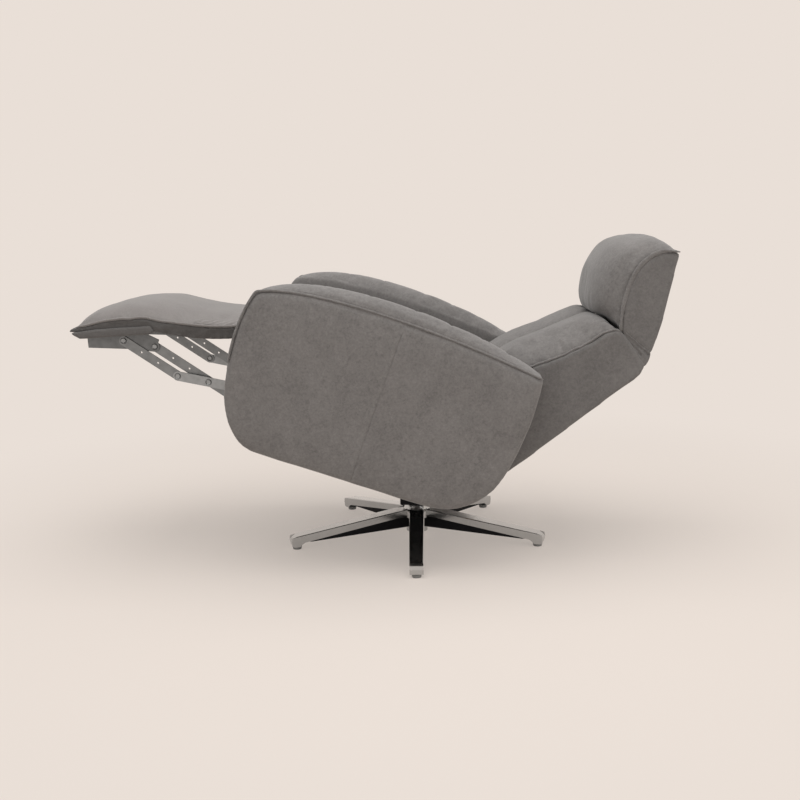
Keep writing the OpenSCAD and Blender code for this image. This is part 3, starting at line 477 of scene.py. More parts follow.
def ripple(bm, height, size, seed):
    """The slight unevenness of padding under cloth"""
    bm.normal_update()
    for v in bm.verts:
        p = v.co / size + Vector((seed, 2 * seed, 0))
        v.co += v.normal * height * (noise.noise(p) + 0.4 * noise.noise(2.1 * p))
    bm.normal_update()


def stuffed(bm, name, seams, held, swell, grow=0.02):
    """Fills a closed skin with air by a cloth simulation

    The skin starts slimmer than its form, and is sewn down along seams and where held says so.
    """
    sewn_width, free_from, slim, last_frame = 0.009, 0.035, 0.6, 20
    tree, _ = line_tree(seams)
    sewn = []
    for v in bm.verts:
        away = tree.find(v.co)[2]
        hold = 1.0 if held(v) else max(0.0, min(1.0, 1.35 - away / sewn_width))
        sewn.append((hold, (1 - hold) * min(1.0, away / free_from)))
    share = 1.0
    for v, (_, free) in zip(bm.verts, sewn):
        v.co += v.normal * -swell * slim * free * share
    bm.normal_update()
    rest = [v.co.copy() for v in bm.verts]
    form = as_object(bm, name + "_form")
    group = form.vertex_groups.new(name="sewn")
    for i, (hold, _) in enumerate(sewn):
        if hold > 0:
            group.add([i], hold, "REPLACE")
    cloth = form.modifiers.new("Stuffing", "CLOTH")
    for key, value in {
        "quality": 4, "use_pressure": True, "uniform_pressure_force": bpy.context.scene.recliner_upholstery.air,
        "vertex_group_mass": "sewn", "shrink_min": -grow, "tension_stiffness": 12, "compression_stiffness": 12,
        "bending_stiffness": 0.4,
    }.items():
        setattr(cloth.settings, key, value)
    cloth.settings.effector_weights.gravity = 0
    cloth.collision_settings.use_collision = False
    cloth.point_cache.frame_start = 1
    cloth.point_cache.frame_end = last_frame
    for step in range(1, last_frame + 1):
        bpy.context.scene.frame_set(step)
    filled = settled(form)
    bpy.context.scene.frame_set(1)
    for v, start in zip(filled.verts, rest):
        move = v.co - start
        if move.length > 1e-9:
            v.co = start + move.normalized() * (swell * math.tanh(move.length / swell))
    filled.normal_update()
    return filled


def finer(obj):
    """One subdivision, the same in the view as in the render"""
    smooth = obj.modifiers.new("Finer", "SUBSURF")
    smooth.levels = 1
    smooth.render_levels = 1
    return obj


def even_normals(obj):
    """Flat faces keep their own normals, and the roundings between them take up the turn"""
    weighted = obj.modifiers.new("Even Normals", "WEIGHTED_NORMAL")
    weighted.weight = 100
    return obj


def corner(line, skin, side):
    """The line of a skin's upper corner next to a seam, up to a little before the skin's tip"""
    slice_width, tip_room = 0.003, 0.014
    edge_band = [v.co for v in skin.verts if abs(v.co.y - line[0].y) < 0.03]
    start = min(co.x for co in edge_band) + tip_room
    points = []
    for p in line:
        near = [co for co in edge_band if abs(co.x - p.x) < slice_width and abs(co.z - p.z) < 0.03]
        if near and p.x > start:
            edge = max(near, key=lambda co: side * co.y + 0.8 * co.z)
            points.append(Vector((p.x, edge.y, edge.z)))
    return smooth_line(points, rounds=8)


def laid(line, skin, lift):
    """A line moved onto a skin, a little above it"""
    tree = BVHTree.FromBMesh(skin)
    found = [tree.find_nearest(p) for p in line]
    return smooth_line([place + normal * lift for place, normal, _, _ in found], rounds=4)


def rising(n):
    return n.z > 0.1


def underside(n):
    return n.z < -0.6


def side_seams(bm, top=rising):
    """The two long seams of a padded form, where its sides meet its top"""
    lines = []
    for s in (-1, 1):
        found = chains(bm, lambda n: n.y * s > 0.9, lambda n: abs(n.y) <= 0.9 and top(n))
        lines.append(max(found, key=len))
    return lines


def padding(form, name, seams, grid, rounds, swell, grow=0.02, held=underside):
    """The skin of a padded form, filled between its seams and sewn down where the form faces a way that held passes"""
    tree = BVHTree.FromBMesh(form)

    def sewn(v):
        _, normal, _, away = tree.find_nearest(v.co)
        return away < 0.02 and held(normal)

    return stuffed(skinned(form, grid, rounds), name, seams, sewn, swell, grow)


def puff(bm, amount=0.0016):
    """Grows a skin by a small amount, to make up for what smoothing took"""
    bm.normal_update()
    for v in bm.verts:
        v.co += v.normal * amount
    bm.normal_update()


def shell_cloth(node, body, place, grid, unevenness, seed, room, *nodes):
    """The soft cloth over a flat shell, which stays within a half width, in a darker copy of the cloth that is painted
    shade
    """
    shell = skinned(merged(node, place), grid, 3)
    puff(shell)
    ripple(shell, unevenness, 0.07, seed)
    for v in shell.verts:
        v.co.y = min(max(v.co.y, -room), room)
    cover(shell, node + "_cloth", "Suede Cloth Side Painted Shade", place, body, 0.9, node, *nodes)


def join(*forms):
    """Several forms in one mesh"""
    whole = bmesh.new()
    for form in forms:
        mesh = bpy.data.meshes.new("form")
        form.to_mesh(mesh)
        form.free()
        whole.from_mesh(mesh)
        bpy.data.meshes.remove(mesh)
    whole.normal_update()
    return whole


def subdivided(bm):
    """The skin with one round of subdivision applied"""
    fine = settled(finer(as_object(bm, "form")))
    fine.normal_update()
    return fine


def cut(bm, at, normal, clear=False):
    """Cuts a skin along a plane, and drops what lies beyond it if asked to"""
    whole = bm.verts[:] + bm.edges[:] + bm.faces[:]
    return bmesh.ops.bisect_plane(bm, geom=whole, plane_co=at, plane_no=normal, clear_outer=clear)


def eased(bm, edges, offset, segments):
    """Rounds edges by a bevel"""
    bmesh.ops.bevel(
        bm, geom=edges, offset=offset, affect="EDGES", segments=segments, profile=0.5, material=-1, clamp_overlap=True
    )


def flattened(bm, degrees):
    """Dissolves the edges that turn by less than some degrees"""
    bmesh.ops.dissolve_limit(bm, angle_limit=math.radians(degrees), verts=bm.verts, edges=bm.edges)


def sharp_edges(bm, degrees):
    """The edges that turn by more than some degrees"""
    return [e for e in bm.edges if len(e.link_faces) == 2 and e.calc_face_angle() > math.radians(degrees)]


def prism(outline, y_low, y_high):
    """A closed solid from an outline in x and z, between two widths"""
    bm = bmesh.new()
    face = bm.faces.new([bm.verts.new((x, y_low, z)) for x, z in outline])
    for v in bmesh.ops.extrude_face_region(bm, geom=[face])["geom"]:
        if isinstance(v, bmesh.types.BMVert):
            v.co.y = y_high
    bmesh.ops.recalc_face_normals(bm, faces=bm.faces)
    return bm


def welt(line, skin, half_width, height, name, place, body, wander):
    """A flat band of cloth, sewn down at both edges, that follows a seam over a skin"""
    tree = BVHTree.FromBMesh(skin)
    sides = 12
    ups = [tree.find_nearest(p)[1] for p in line]
    for _ in range(12):
        ups = [(a + b + c).normalized() for a, b, c in zip([ups[0], *ups], ups, [*ups[1:], ups[-1]])]
    bm = bmesh.new()
    ring = None
    for i, (p, up) in enumerate(zip(line, ups)):
        ahead = (line[min(i + 1, len(line) - 1)] - line[max(i - 1, 0)]).normalized()
        up = (up - ahead * up.dot(ahead)).normalized()
        across = ahead.cross(up)
        ends = min(i, len(line) - 1 - i) / 5
        slim = math.sin(math.pi / 2 * min(1.0, (ends + 0.15)))
        pucker = 1 + wander * noise.noise(Vector((i * 0.9, 3.7, 0)))
        verts = []
        for k in range(sides):
            a = 2 * math.pi * k / sides
            bulge = abs(math.sin(a)) ** 0.8 * math.copysign(1, math.sin(a))
            out = across * half_width * slim * math.cos(a)
            verts.append(bm.verts.new(p + out + up * height * slim * pucker * bulge))
        if ring:
            for k in range(sides):
                bm.faces.new((ring[k], ring[(k + 1) % sides], verts[(k + 1) % sides], verts[k]))
        else:
            bm.faces.new(reversed(verts))
        ring = verts
    bm.faces.new(ring)
    bmesh.ops.recalc_face_normals(bm, faces=bm.faces)
    piece(bm, name, "Suede Cloth", place, body, "upholstery")


# The finishes of the CAD nodes that stay as they are
NODE_FINISHES = {
    "Black Casting": ("base_webs", "column_housing"),
    "Glide Plastic": ("glides",),
    "Bright Steel": ("thrust_bearing", "swivel_column", "tilt_pin", "recline_pins", "main_pivots"),
    "Dark Steel": (
        "tilt_yoke", "tilt_cradle", "recline_plates", "cross_tube", "back_hinge_arms", "head_hinge_lower",
        "head_hinge_upper",
    ),
    "Zinc Plate": ("mechanism_plate_left", "mechanism_plate_right"),
    "Beech Timber": (
        "seat_rail_left", "seat_rail_right", "front_rail", "rear_rail", "arm_panel_left", "arm_panel_right",
        "back_frame",
    ),
    "Woven Webbing": ("seat_webbing", "back_webbing"),
}


class Undoable:
    """Lets an operator be undone in one step"""

    bl_options = {"REGISTER", "UNDO"}


class RECLINER_OT_finishes(Undoable, bpy.types.Operator):
    """Makes the cloth, metals, timber, webbing and plastic"""

    bl_idname = "recliner.finishes"
    bl_label = "Finishes"

    def execute(self, context):
        cloths, metals = context.scene.recliner_upholstery, context.scene.recliner_metal
        GROUPS["nap"] = suede_nap()
        GROUPS["metal"] = worn_metal()
        upholstery("Suede Cloth", cloths.cloth, 1.0, 0.42, 0.75, 0.75)
        # Painted light: the lighter copy of the cloth for the footrest, the calf pad and their piping
        upholstery("Suede Cloth Footrest Painted Light", cloths.footrest_cloth_painted_light, 1.0, 0.25, 0.3, 0.3)
        # Painted shade: a darker copy of the cloth for the back's and headrest's shells and the neck folds
        upholstery("Suede Cloth Side Painted Shade", cloths.cloth, 0.87, 0.4, 0.65, 0.65)
        # Painted shade: a darker copy of the cloth for the footrest's and calf pad's sides and underside
        upholstery("Suede Cloth Boxing Painted Shade", cloths.cloth, 0.55, 0.3, 0.5, 0.5)
        # Painted shade: a darker copy of the cloth for the footrest's wrapped board
        upholstery("Suede Cloth Board Painted Shade", cloths.cloth, 0.68, 0.3, 0.5, 0.5)
        metal("Polished Aluminium", metals.aluminium, 1.0, 0.17, 0.08, 0.05, 40.0, relief=0.000004)
        metal("Black Casting", metals.casting, 1.0, 0.36, 0.15, 0.2, 300.0, 0.0, 0.0001, Specular_IOR_Level=0.06)
        metal("Zinc Plate", metals.zinc, 1.0, 0.34, 0.16, 0.28, 90.0, 0.9, 0.00006)
        # Painted shade: darker copies of the zinc for the lower and upper links and, darker still, the footrest
        # brackets
        metal("Link Plate Painted Shade", metals.zinc, 0.7, 0.34, 0.16, 0.34, 60.0, 0.9, 0.00006)
        metal("Grey Plate Painted Shade", metals.zinc, 0.5, 0.34, 0.16, 0.4, 90.0, 0.9, 0.00006)
        metal("Bright Steel", (0.62, 0.62, 0.61), 1.0, 0.24, 0.12, 0.08, 120.0)
        metal("Dark Steel", (0.07, 0.07, 0.072), 1.0, 0.42, 0.14, 0.2, 150.0, 0.6, 0.0001)
        timber("Beech Timber")
        webbing("Woven Webbing")
        plastic("Glide Plastic", (0.20, 0.20, 0.195), 0.4)
        for finish, nodes in NODE_FINISHES.items():
            for node in nodes:
                mesh = NODES[node].data
                mesh.materials.clear()
                mesh.materials.append(FINISHES[finish])
        return {"FINISHED"}


class RECLINER_OT_star_base(Undoable, bpy.types.Operator):
    """Polishes the star base and rounds its edges"""

    bl_idname = "recliner.star_base"
    bl_label = "Star Base"

    def execute(self, context):
        bm = merged("star_base")
        flattened(bm, 1.5)
        self.crisp(bm)
        eased(bm, sharp_edges(bm, 24), context.scene.recliner_metal.rounding, 3)
        even_normals(piece(bm, "polished_star", "Polished Aluminium", ROOM, "base", "polished_aluminium", "star_base"))
        return {"FINISHED"}

    def crisp(self, bm):
        """Narrows the arms' long chamfers, so that their polished tops stay broad"""
        narrowing = 0.0066
        outward, upward = {}, set()
        for face in bm.faces:
            n = face.normal
            if 0.55 < n.z < 0.85 and face.calc_area() > 0.0006:
                flat = Vector((n.x, n.y, 0)).normalized() * narrowing
                for v in face.verts:
                    around = [f.normal.z for f in v.link_faces]
                    if any(z > 0.93 for z in around):
                        outward[v] = flat
                    elif any(abs(z) < 0.2 for z in around):
                        upward.add(v)
        for v, move in outward.items():
            v.co += move
        for v in upward:
            v.co.z += narrowing
        bm.normal_update()


class RECLINER_OT_linkage(Undoable, bpy.types.Operator):
    """Eases the edges of the stamped links and brackets, and domes the rivets' heads"""

    bl_idname = "recliner.linkage"
    bl_label = "Linkage"

    def execute(self, context):
        # The lower and upper links and the footrest brackets take darker copies of the zinc, painted shade
        for kind, body, finish in (
            ("rear_link", "rear_links", "Zinc Plate"), ("lower_link", "lower_links", "Link Plate Painted Shade"),
            ("upper_link", "upper_links", "Link Plate Painted Shade"), ("footrest_bracket", "footrest", "Grey Plate Painted Shade"),
        ):
            for side, _ in SIDES:
                node = f"{kind}_{side}"
                bm = merged(node)
                flattened(bm, 1)
                eased(bm, sharp_edges(bm, 60), 0.0006, 2)
                even_normals(piece(bm, "stamped_" + node, finish, ROOM, body, "zinc_steel", node))
        head = 0.012
        for node, body in (("rear_link_rivets", "rear_links"), ("footrest_rivets", "footrest")):
            bm = merged(node)
            inside = max(abs(v.co.y) for v in bm.verts) - head
            flattened(bm, 1)
            rims = [e for e in sharp_edges(bm, 60) if all(abs(v.co.y) > inside for v in e.verts)]
            eased(bm, rims, 0.0014, 3)
            heads = [f for f in bm.faces if abs(f.normal.y) > 0.95 and abs(f.calc_center_median().y) > inside]
            bmesh.ops.inset_individual(bm, faces=heads, thickness=0.0022, depth=-0.0005)
            rivets = piece(bm, "domed_" + node, "Zinc Plate", ROOM, body, "steel", node)
            rivets.data.set_sharp_from_angle(angle=math.radians(40))
        return {"FINISHED"}


class RECLINER_OT_arms(Undoable, bpy.types.Operator):
    """Upholsters the two arms: soft sides, a padded top and piping along the outer edge"""

    bl_idname = "recliner.arms"
    bl_label = "Arms"

    # Places across the left arm: the sides of its slab and of its pad, the outer seam, its piping and the inner limit
    SLAB, PAD = (-0.343, -0.245), (-0.3405, -0.2465)
    SEAM, CORD, LIMIT = -0.3425, -0.3412, -0.2433

    def execute(self, context):
        sizes = context.scene.recliner_upholstery
        outline = chains(merged("arm_outer_cover_left", SEAT), lambda n: n.y < -0.9, lambda n: abs(n.y) < 0.1)[0]
        centre = sum(outline, Vector()) / len(outline)
        slab = prism([(p.x, p.z) for p in outline], *self.SLAB)
        tree = BVHTree.FromBMesh(slab)
        skin = skinned(join(slab, self.pad(centre)), sizes.grid, 6)
        puff(skin)
        path = self.edge_line(outline)
        seam = [Vector((p.x, self.SEAM, p.z)) for p in path]

        def held(v):
            place, normal, _, _ = tree.find_nearest(v.co)
            return (v.co - place).dot(normal) < 0.002

        skin = stuffed(skin, "arm", [seam], held, 0.005, 0.015)
        self.crown(skin, outline)
        ripple(skin, 0.0011, 0.085, 3.1)
        for v in skin.verts:
            v.co.y = min(v.co.y, self.LIMIT)
        middle = Vector((centre.x, self.SEAM, centre.z))
        groove = [p + (middle - p).normalized() * 0.0045 for p in seam]
        press_seam(skin, [groove], 0.0036, 0.0042)
        self.joining_seam(skin)
        for side, s in SIDES:
            copy = skin.copy()
            copy.transform(Matrix.Diagonal((1, s, 1, 1)))
            if s < 0:
                bmesh.ops.reverse_faces(copy, faces=copy.faces)
            nodes = (f"arm_{part}_{side}" for part in ("outer_cover", "inner_cover", "top_pad"))
            cover(copy, "arm_cloth_" + side, "Suede Cloth", SEAT, "seat", 0.9, *nodes)
            line = [Vector((p.x, self.CORD * s, p.z)) for p in path]
            piping(line, sizes.piping, "Suede Cloth", "arm_piping_" + side, SEAT, "seat")
        skin.free()
        return {"FINISHED"}

    def pad(self, centre):
        """The crowned top pad, sunk into the slab"""
        pad = merged("arm_top_pad_left", SEAT)
        sunk, eased_in = 0.014, 0.0022
        inner = [f for f in pad.faces if abs(f.normal.y) < 0.5 and f.normal.dot(centre - f.calc_center_median()) > 0]
        foot = {v for f in inner for v in f.verts}
        for v in pad.verts:
            inwards = Vector((centre.x - v.co.x, 0, centre.z - v.co.z)).normalized()
            v.co += inwards * (sunk if v in foot else eased_in)
            v.co.y = min(max(v.co.y, self.PAD[0]), self.PAD[1])
        return pad

    def crown(self, skin, outline):
        """Bulges the outer side, less so towards its border"""
        bulge, border_width = 0.0075, 0.09
        border, _ = line_tree([[Vector((p.x, 0, p.z)) for p in smooth_line(outline + [outline[0]], 0.006)]])
        for v in skin.verts:
            inset = 1 - min(1.0, border.find(Vector((v.co.x, 0, v.co.z)))[2] / border_width)
            if v.normal.y < -0.7:
                v.co.y -= bulge * (1 - inset ** 2.2)

    def joining_seam(self, skin):
        """Presses in the seam that joins the two lengths of cloth on the outer side"""
        top, bottom = Vector((-0.119, 0, 0.339)), Vector((-0.132, 0, -0.028))
        half_width, depth, end = 0.0022, 0.0018, 0.325
        across = (bottom - top).cross(Vector((0, 1, 0))).normalized()
        for shift in (-half_width, 0.0, half_width):
            cut(skin, top + across * shift, across)
        skin.normal_update()
        for v in skin.verts:
            if v.normal.y < -0.7 and abs((v.co - top).dot(across)) < 0.0004 and v.co.z < end:
                v.co.y += depth

    def edge_line(self, outline):
        """From the arm's rear tip along its top, round the front corner and down its front"""
        rear = max(range(len(outline)), key=lambda i: outline[i].x + outline[i].z)
        line = outline[rear:] + outline[:rear]
        if line[5].z < line[0].z - 0.02:
            line = [line[0]] + line[:0:-1]
        kept = []
        for p in line:
            if kept and p.z < 0.13 and p.x < -0.3:
                break
            kept.append(p + Vector((0, 0, 0.0004)))
        return smooth_line(kept)


class RECLINER_OT_seat(Undoable, bpy.types.Operator):
    """Stuffs the seat cushion and pipes its edges"""

    bl_idname = "recliner.seat"
    bl_label = "Seat Cushion"

    def execute(self, context):
        sizes = context.scene.recliner_upholstery
        form = merged("seat_cushion", SEAT)
        seams = side_seams(form)
        skin = padding(form, "seat_cushion", seams, sizes.grid * 1.1, 3, 0.010)
        lines = [smooth_line(line) for line in seams]
        press_seam(skin, lines, 0.0015, 0.008, 0.0025, 0.02, 0.03)
        finer(cover(skin, "seat_cushion_soft", "Suede Cloth", SEAT, "seat", 0.8, "seat_cushion"))
        for side, line in zip("ab", lines):
            inset = [Vector((p.x, p.y * 0.992, p.z)) for p in line]
            piping(inset, sizes.piping * 0.9, "Suede Cloth", "seat_piping_" + side, SEAT, "seat")
        return {"FINISHED"}


class RECLINER_OT_footrest(Undoable, bpy.types.Operator):
    """Makes the footrest's pad, its wrapped board and the calf pad that bridges to the seat"""

    bl_idname = "recliner.footrest"
    bl_label = "Footrest"

    def execute(self, context):
        sizes = context.scene.recliner_upholstery
        to_seat = SEAT.inverted() @ BOARD
        joint, along = to_seat @ Vector((0, 0, 0.04)), (to_seat.to_3x3() @ Vector((1, 0, 0))).normalized()
        toe, calf = merged("footrest_cushion", SEAT), merged("calf_pad", SEAT)
        lines = self.long_seams(toe, calf)
        for v in toe.verts:
            if (v.co - joint).dot(along) > -0.004:
                v.co += along * 0.008
        skin = padding(join(toe, calf), "footrest", lines, sizes.grid, 2, 0.008)
        for _ in range(14):
            near = [v for v in skin.verts if abs((v.co - joint).dot(along)) < 0.05 and v.normal.z > 0.2]
            smoothed(skin, near)
        self.nose(skin)
        whole = subdivided(skin)
        lines = [corner(line, whole, s) for line, s in zip(lines, (-1, 1))]
        inset, cords = (
            [[p + Vector((0, s * out, up)) for p in line] for line, s in zip(lines, (-1, 1))]
            for out, up in ((-0.0052, 0), (0.0012, 0.0010))
        )
        press_seam(whole, inset, 0.0018, 0.0032)
        press_seam(
            whole, lines, 0, 0.006, pucker=0.008, pitch=0.0225, reach=0.017, slant=-0.9, seed=4.0,
            where=lambda v: -0.62 < v.co.x < -0.465 and v.normal.z > 0.35,
        )
        self.board()
        border, _ = line_tree(lines)
        for label, keep, body, node, fill in (
            ("footrest_pad", 1, "footrest", "footrest_cushion", 0.8), ("calf_pad_soft", -1, "seat", "calf_pad", 0.7),
        ):
            half = whole.copy()
            rim = cut(half, joint, along * keep, clear=True)["geom_cut"]
            rim = [e for e in rim if isinstance(e, bmesh.types.BMEdge)]
            bmesh.ops.triangle_fill(half, use_beauty=True, edges=rim)
            bmesh.ops.recalc_face_normals(half, faces=half.faces)
            # Faces on the sides and underside take the darker copy of the cloth, painted shade
            for face in half.faces:
                face.material_index = int(self.takes_painted_shade(face, border))
            # The pad takes the lighter copy of the cloth, painted light
            pad = cover(half, label, "Suede Cloth Footrest Painted Light", SEAT, body, fill, node)
            pad.data.materials.append(FINISHES["Suede Cloth Boxing Painted Shade"])
            pad.data.set_sharp_from_angle(angle=math.radians(70))
            pieces = [pad]
            for (side, _), line in zip(SIDES, cords):
                part = [p for p in line if (p - joint).dot(along) * keep < 0.002]
                name = f"{label}_piping_{side}"
                pieces.append(piping(part, sizes.piping, "Suede Cloth Footrest Painted Light", name, SEAT, body, keep))
            if keep < 0:
                ahead, anchor = SEAT.to_3x3() @ Vector((1, 0, 0)), SEAT @ Vector((-0.448, 0, 0.19))
                for made in pieces:
                    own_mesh(made)
                    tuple(ahead)
                    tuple(anchor)
        whole.free()
        return {"FINISHED"}

    def long_seams(self, toe, calf):
        """The seams along the two sides, from the toe to the seat"""
        pairs = [side_seams(form) for form in (toe, calf)]
        lines = []
        for s in (-1, 1):
            both = [line for pair in pairs for line in pair if line[0].y * s > 0]
            ahead = [line if line[0].x < line[-1].x else line[::-1] for line in both]
            lines.append(smooth_line(ahead[0][:-1] + ahead[1][1:], rounds=6))
        return lines

    def nose(self, skin):
        """Fills the pad's toe end, and lets its side seams run down to the point"""
        tip, half = min(v.co.x for v in skin.verts), max(v.co.y for v in skin.verts)
        for v in skin.verts:
            behind = v.co.x - tip
            up = min(1, max(0, 2 * v.normal.z + 0.6))
            side = math.exp(-(((half - abs(v.co.y)) / 0.03) ** 2))
            v.co.z -= 0.0045 * up * side * math.sin(math.pi * min(1, behind / 0.26)) ** 0.5
            if behind < 0.055:
                v.co.z += 0.008 * up * (1 - side) * math.sin(math.pi * (behind / 0.055) ** 0.6)
            if behind < 0.05:
                v.co.x -= 0.005 * (1 - behind / 0.05)
        near = [v for v in skin.verts if v.co.x < tip + 0.08 and v.normal.z > -0.2]
        smoothed(skin, near, 4, lengthwise=False)

    def takes_painted_shade(self, face, border):
        """Whether a face faces down or lies on the sides, below the piping, and so takes the darker copy of the cloth,
        painted shade
        """
        centre = face.calc_center_median()
        seam, _, away = border.find(centre)
        beside = away < 0.05 and abs(centre.y) > abs(seam.y) - 0.014
        return face.normal.z < -0.15 or (beside and centre.z < seam.z - 0.0008)

    def board(self):
        """The board under the pad, wrapped in a darker copy of the same cloth, which is painted shade"""
        edge = [
            (-0.1975, 0.0165), (-0.195, 0.0115), (-0.177, -0.0005), (0.004, -0.0005), (0.012, 0.0080), (0.004, 0.0205),
            (-0.120, 0.0205), (-0.178, 0.0180),
        ]
        half_width = 0.2362
        skin = skinned(prism(edge, -half_width, half_width), 0.0036, 2)
        ripple(skin, 0.0008, 0.03, 6.0)
        cover(skin, "footrest_board_cloth", "Suede Cloth Board Painted Shade", BOARD, "footrest", 0.95, "footrest_board")


class RECLINER_OT_back(Undoable, bpy.types.Operator):
    """Upholsters the back: a soft shell, two bolsters with a valley between them, and piping"""

    bl_idname = "recliner.back"
    bl_label = "Back"

    def execute(self, context):
        sizes = context.scene.recliner_upholstery
        room_between_arms = 0.2412
        shell_cloth("back_shell", "back", BACK, sizes.grid * 0.85, 0.0012, 8.3, room_between_arms)
        form = merged("back_cushion", BACK)
        seams = side_seams(form)
        middle = (v.co.copy() for v in form.verts if abs(v.co.y) < 0.001 and v.normal.z > 0.2)
        valley = smooth_line(sorted(middle, key=lambda p: p.x))
        skin = padding(form, "back_cushion", seams + [valley], sizes.grid, 3, 0.010)
        lines = [smooth_line(line) for line in seams]
        press_seam(skin, lines, 0.0015, 0.008, 0.0015, 0.022, 0.03)
        press_seam(skin, [valley], 0.008, 0.024)
        press_seam(skin, [valley], 0.004, 0.006)
        cords = [laid(line, skin, sizes.piping * 0.2) for line in lines]
        finer(cover(skin, "back_bolsters", "Suede Cloth", BACK, "back", 0.8, "back_cushion"))
        for side, line in zip("ab", cords):
            piping(line, sizes.piping, "Suede Cloth", "back_piping_" + side, BACK, "back")
        return {"FINISHED"}


class RECLINER_OT_headrest(Undoable, bpy.types.Operator):
    """Upholsters the headrest with its flat double seam, and the folds of cloth at its hinge"""

    bl_idname = "recliner.headrest"
    bl_label = "Headrest"

    def execute(self, context):
        sizes = context.scene.recliner_upholstery
        shell_cloth("headrest_shell", "headrest", HEAD, sizes.grid * 0.8, 0.001, 5.0, math.inf, "headrest_board")
        form = merged("headrest_cushion", HEAD)
        seams = side_seams(form, lambda n: n.x < -0.05 or n.z > 0.3)
        skin = padding(form, "headrest", seams, sizes.grid * 0.9, 6, 0.009, 0.008, lambda n: n.x > 0.6)
        self.rest_on_bolsters(skin)
        lines = [smooth_line(line) for line in seams]
        press_seam(skin, lines, 0.0026, 0.0085, 0.0012, 0.021, 0.018)
        for side, line in zip("ab", lines):
            welt(line, skin, 0.0056, 0.003, "headrest_welt_" + side, HEAD, "headrest", 0.5)
        finer(cover(skin, "headrest_pad", "Suede Cloth", HEAD, "headrest", 0.85, "headrest_cushion"))
        self.neck()
        return {"FINISHED"}

    def rest_on_bolsters(self, skin):
        """Brings the pad's lower front down onto the bolsters, just clear of them, and fills its upper rear"""
        half_width, clear = 0.234, 0.001
        fill_low, fill_front, fill_length, fill_rear = 0.235, -0.085, 0.093, 0.008
        front, top = -0.104, 0.135
        for v in skin.verts:
            x, z = v.co.x, v.co.z
            if z > fill_low and x > fill_front:
                fill = math.sin(math.pi * min(1.0, (x - fill_front) / fill_length)) if x < fill_rear else 0.0
                inside = max(0.0, 1 - (abs(v.co.y) / half_width) ** 6)
                v.co.z += 0.007 * fill * inside * min(1.0, (z - fill_low) / 0.02)
            if x > front or z > top:
                continue
            under = 0.063 + (-0.105 - x) * 0.667
            lying = 0.062 - max(0.0, -0.125 - x) * 0.3
            share = max(0.0, min(1.0, (top - z) / (top - under)))
            v.co.z = z - share * max(0.0, under - lying)
            v.co.x = x + 0.1 * max(0.0, 0.105 - v.co.z) * min(1.0, (front - x) / 0.04)
        tree = self.bolsters()
        for _ in range(10):
            near = [v for v in skin.verts if v.co.x < -0.09 and v.co.z < 0.17]
            smoothed(skin, near)
            for v in near:
                place, normal, _, _ = tree.find_nearest(v.co)
                depth = (v.co - place).dot(normal)
                if -0.03 < depth < clear:
                    v.co += normal * (clear - depth)
        skin.normal_update()

    def bolsters(self):
        """A search tree of the back's bolsters, in the headrest's frame"""
        bm = bmesh.new()
        bm.from_mesh(bpy.data.objects["back_bolsters"].data)
        bm.transform(HEAD.inverted())
        tree = BVHTree.FromBMesh(bm)
        bm.free()
        return tree

    def neck(self):
        """The folded cloth between the back and the headrest"""
        half_width = 0.2372
        wedge = [
            (0.397, 0.030), (0.404, 0.032), (0.421, -0.034), (0.4275, -0.0455), (0.422, -0.0545), (0.410, -0.0635),
            (0.398, -0.0690), (0.388, -0.066), (0.391, -0.04), (0.394, 0.0),
        ]
        creases = (
            ((0.3990, 0.026), (0.4090, -0.012), (0.4185, -0.050)), ((0.3975, 0.018), (0.4005, -0.01), (0.404, -0.040)),
        )
        skin = skinned(prism(wedge, -half_width, half_width), 0.003, 2)
        folds = [
            smooth_line([Vector((x, y, z)) for x, z in crease]) for y in (-half_width, half_width) for crease in creases
        ]
        press_seam(skin, folds, 0.005, 0.0028)
        # The neck's cloth is the darker copy of the cloth, painted shade
        cloth = as_object(skin, "neck_fold_cloth", "Suede Cloth Side Painted Shade", BACK)
        start, end = BACK @ Vector((0.398, 0, -0.02)), BACK @ Vector((0.430, 0, -0.02))
        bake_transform(cloth)
        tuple(start)
        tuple(end)
        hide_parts("neck_gusset")


